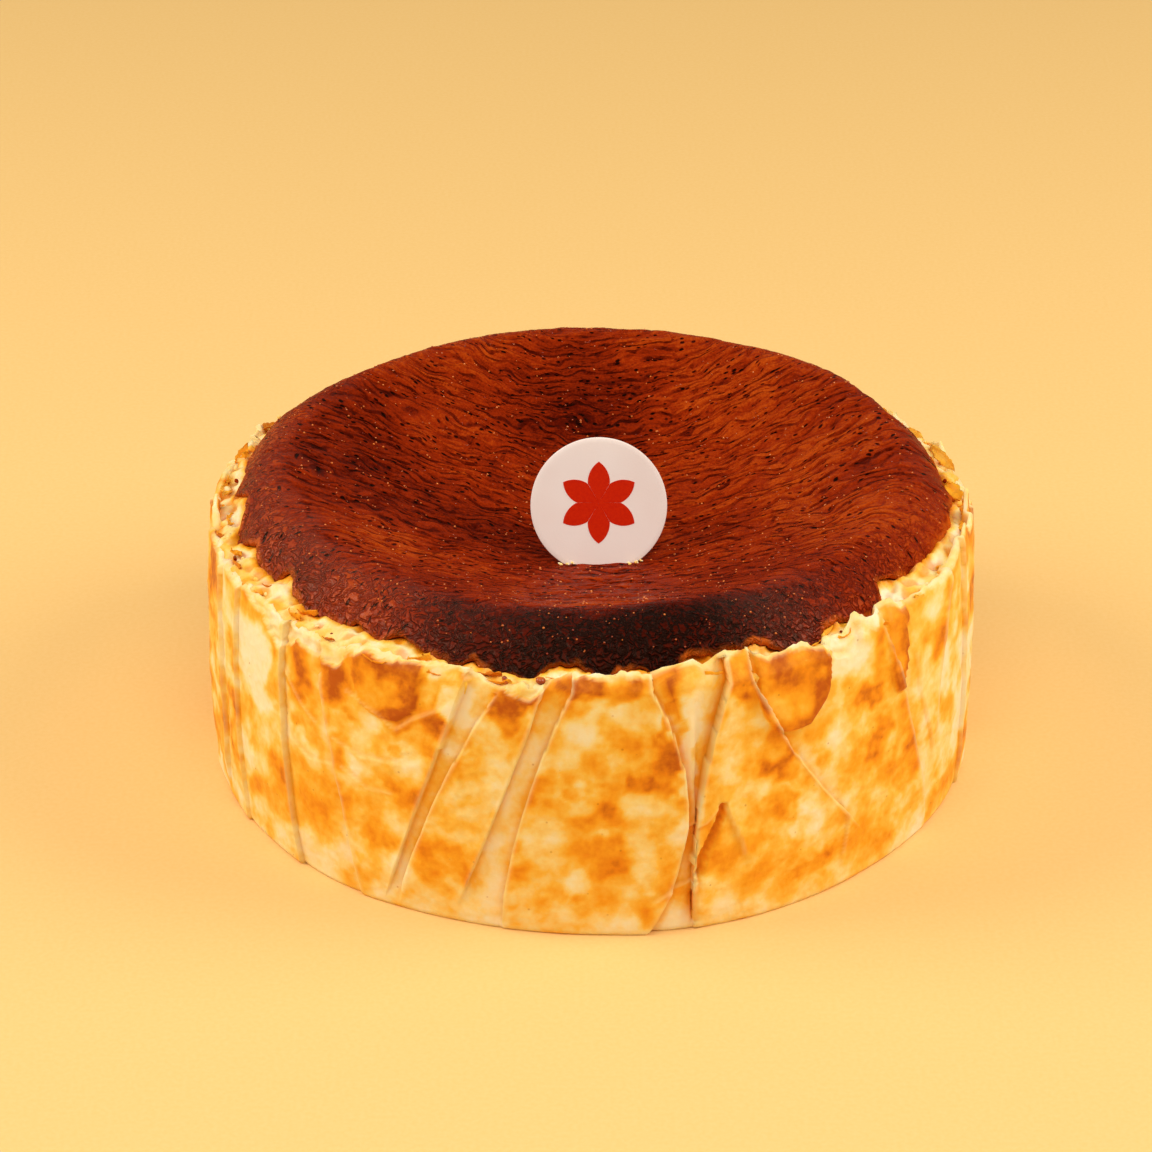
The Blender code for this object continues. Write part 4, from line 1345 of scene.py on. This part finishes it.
def crumb(number, draw):
    """One irregular crumb about 1 mm across."""
    shape = bmesh.new()
    bmesh.ops.create_icosphere(shape, subdivisions=2, radius=0.5 * MM)
    stretch = [draw.uniform(0.6, 1.3) for _ in range(3)]
    for corner in shape.verts:
        swell = 1.0 + 0.6 * noise.noise(corner.co * 1400.0 + Vector((number, 0.0, 0.0)))
        corner.co = Vector(c * k * swell for c, k in zip(corner.co, stretch))
    shape.verts.index_update()
    points = [tuple(v.co) for v in shape.verts]
    faces = [tuple(v.index for v in f.verts) for f in shape.faces]
    shape.free()
    return points, faces


def kinds_of(name, maker, count, seed):
    """A collection of a few different shapes for a tree to pick from."""
    draw = np.random.default_rng(seed)
    group = bpy.data.collections.new(name)
    for number in range(count):
        points, faces = maker(number, draw)
        mesh = mesh_of(f"{name}_{number}", points, faces=faces)
        mesh.shade_smooth()
        group.objects.link(bpy.data.objects.new(f"{name}_{number}", mesh))
    return group


def band_points(azimuths, inward, lift):
    """Points along the torn band, that far in from the wall's lip."""
    lip = wall_radius(azimuths, WALL_HEIGHT) - inward
    edge = crust_edge(azimuths, ragged=False)
    share = np.clip((lip - edge) / (5.0 * MM), 0.0, 1.0)
    height = CRUST_EDGE_HEIGHT + (WALL_HEIGHT - CRUST_EDGE_HEIGHT) * share + lift
    return round_place(azimuths, lip, height)


def card_foot_points(middle):
    """A few points on the crust in front of the card's foot, about that X in metres."""
    x = middle + np.linspace(-1.6, 1.6, 5) * MM
    points = np.stack((x, 0.0 * x + CARD_FOOT, 0.0 * x), axis=1)
    points[:, 2] = top_height(*polar(points)) + 0.25 * MM
    return points


def petal():
    """One fat petal of card ink between two arcs, kept to its sixth of the turn, up Y."""
    steps = 24
    bend = 0.60
    flat = math.sqrt(bend**2 - 0.25)
    half = []
    for k in range(steps + 1):
        t = k / steps
        arc = math.sqrt(max(0.0, bend**2 - (t - 0.5) ** 2)) - flat
        half.append((min(arc, 0.99 * t * math.tan(math.pi / 6.0)), t))
    outline = half + [(-x, t) for x, t in reversed(half[1:-1])]
    outline = [(x * ROSETTE_RADIUS, t * ROSETTE_RADIUS) for x, t in outline]
    count = len(outline)
    points = [(x, y, z) for z in (-INK_THICKNESS, INK_THICKNESS) for x, y in outline]
    faces = [tuple(reversed(range(count, 2 * count))), tuple(range(count))]
    for k in range(count):
        after = (k + 1) % count
        faces.append((k, count + k, count + after, after))
    return points, faces


def make_rosette(ink):
    """The red six-petal rosette on the card's face."""
    points, faces = petal()
    guide = object_of("petal", mesh_of("petal", points, faces=faces))
    made = grown("printed_rosette", guide, rosette_tree(), {"Petals": 6, "Material": ink})
    drop(guide)
    place, _ = topper_place()
    lift = 0.5 * TOPPER_THICKNESS + 0.2 * INK_THICKNESS
    made.data.transform(place @ Matrix.Translation((0.0, ROSETTE_RISE, lift)))
    return made


def make_small_things(caramel):
    """Flakes, crumbs and lumps on the torn band, and crumbs at the card's foot."""
    skin = custard_material("torn baked skin, curled dry", 700.0, 0.0)
    curd = custard_material("curd crumbs, baked", 900.0, 0.0)
    burnt = crust_material("burnt crust crumbs")
    flakes = kinds_of("flake", flake, 7, 3)
    crumbs = kinds_of("crumb", crumb, 5, 4)
    around = np.arange(-180.0, 179.5, 1.0)
    front = np.arange(-22.0, 33.0, 1.0)
    band = path_through("band path", band_points(around, 3.0 * MM, -0.2 * MM))
    lip = path_through("lip path", band_points(around, 1.4 * MM, -0.1 * MM))
    seam = path_through("seam path", band_points(front, 2.2 * MM, 0.1 * MM))
    left, right = (path_through("card foot path", card_foot_points(x)) for x in CARD_FOOT_ENDS)
    wide, tight = (1.5 * MM, 1.5 * MM, 0.4 * MM), (0.7 * MM, 0.7 * MM, 0.4 * MM)
    near = (0.8 * MM, 0.5 * MM, 0.1 * MM)
    # Each name and path, then what fills the tree's inputs in their order
    plans = (
        ("torn_flakes", band, flakes, 34, wide, 0.40, 0.45, 1.0, 0.50, 0.90, 5, skin, "browning"),
        ("lip_flakes", lip, flakes, 40, tight, 0.30, 0.35, 0.8, 0.55, 0.98, 6, skin, "browning"),
        ("curd_crumbs", band, crumbs, 60, wide, 3.0, 0.5, 1.6, 0.1, 0.6, 8, curd, "browning"),
        ("burnt_crumbs", band, crumbs, 14, wide, 3.0, 0.5, 1.2, 0.5, 0.9, 12, burnt, "relief"),
        ("caramel_lumps", seam, crumbs, 12, tight, 3.0, 1.0, 2.0, 0.5, 0.9, 14, caramel, "browning"),
        ("card_crumbs_left", left, crumbs, 9, near, 3.0, 0.3, 0.75, 0.0, 0.35, 21, curd, "browning"),
        ("card_crumbs_right", right, crumbs, 9, near, 3.0, 0.3, 0.75, 0.0, 0.35, 21, curd, "browning"),
    )
    tree = scatter_tree()
    labels = [label for label, kind in SCATTER_INPUTS]
    made = [grown(name, path, tree, dict(zip(labels, row))) for name, path, *row in plans]
    drop(band, lip, seam, left, right)
    return made


def make_blisters(crust, finish):
    """Fine beads of caramel over the burnt crust."""
    values = {"Density": BLISTERS_PER_SQUARE_METRE, "Radius": BLISTER_RADIUS}
    values.update({"Seed": BLISTER_SEED, "Material": finish})
    return grown("caramel_blisters", crust, blister_tree(), values)


# Stage


def make_floor():
    half = FLOOR_HALF_WIDTH
    corners = [(-half, -half, 0.0), (half, -half, 0.0), (half, half, 0.0), (-half, half, 0.0)]
    piece("studio_paper", corners, [(0, 1, 2, 3)], backdrop_material())


def make_light(name, azimuth, elevation, distance, size, power, colour):
    lamp = bpy.data.lights.new(name, "AREA")
    lamp.shape = "DISK"
    lamp.size = size
    lamp.energy = power
    lamp.color = paint(colour)[:3]
    a, e = math.radians(azimuth), math.radians(elevation)
    aim = Vector((0.0, 0.0, LIGHT_AIM_HEIGHT))
    away = Vector((math.sin(a) * math.cos(e), -math.cos(a) * math.cos(e), math.sin(e)))
    made = object_of(name, lamp)
    made.location = aim + away * distance
    made.rotation_euler = away.to_track_quat("Z", "Y").to_euler()


def make_camera():
    lens = bpy.data.cameras.new("camera")
    lens.sensor_width = SENSOR_WIDTH
    lens.lens = FOCAL_PIXELS / PICTURE_PIXELS * SENSOR_WIDTH
    camera = object_of("camera", lens)
    camera.location = CAMERA_PLACE
    camera.rotation_euler = (math.radians(90.0 - CAMERA_PITCH), 0.0, math.radians(CAMERA_YAW))
    bpy.context.scene.camera = camera


def make_world():
    world = bpy.data.worlds.new("soft studio")
    world.use_nodes = True
    sky = {"Color": paint("#FFF4E0"), "Strength": 0.34}
    feed(world.node_tree.nodes["Background"], sky)
    bpy.context.scene.world = world


make_camera()
make_world()
make_floor()
make_light("left softbox", -88.0, 36.0, 1.2, 0.75, 7.5, "#FFF8EE")
make_light("right softbox", 86.0, 36.0, 1.2, 0.75, 7.5, "#FFF8EE")
make_light("front softbox", 2.0, 60.0, 1.3, 0.9, 6.5, "#FFFAF4")

crust = make_crust(crust_material("caramelised crust, oven browned"))
side = make_side(custard_material("baked custard skin, paper pressed", 700.0))
shoulder = make_shoulder(custard_material("torn baked curd", 900.0, 0.2))
topper = make_topper(card_material())
rosette = make_rosette(ink_material())
caramel = caramel_material()
blisters = make_blisters(crust, caramel)
for made in (crust, side, shoulder):
    settle(made, "cheesecake")
settle(topper, "topper")
settle(rosette, None)
for made in (*make_small_things(caramel), blisters):
    settle(made, None)
bpy.context.scene.view_settings.view_transform = "Standard"
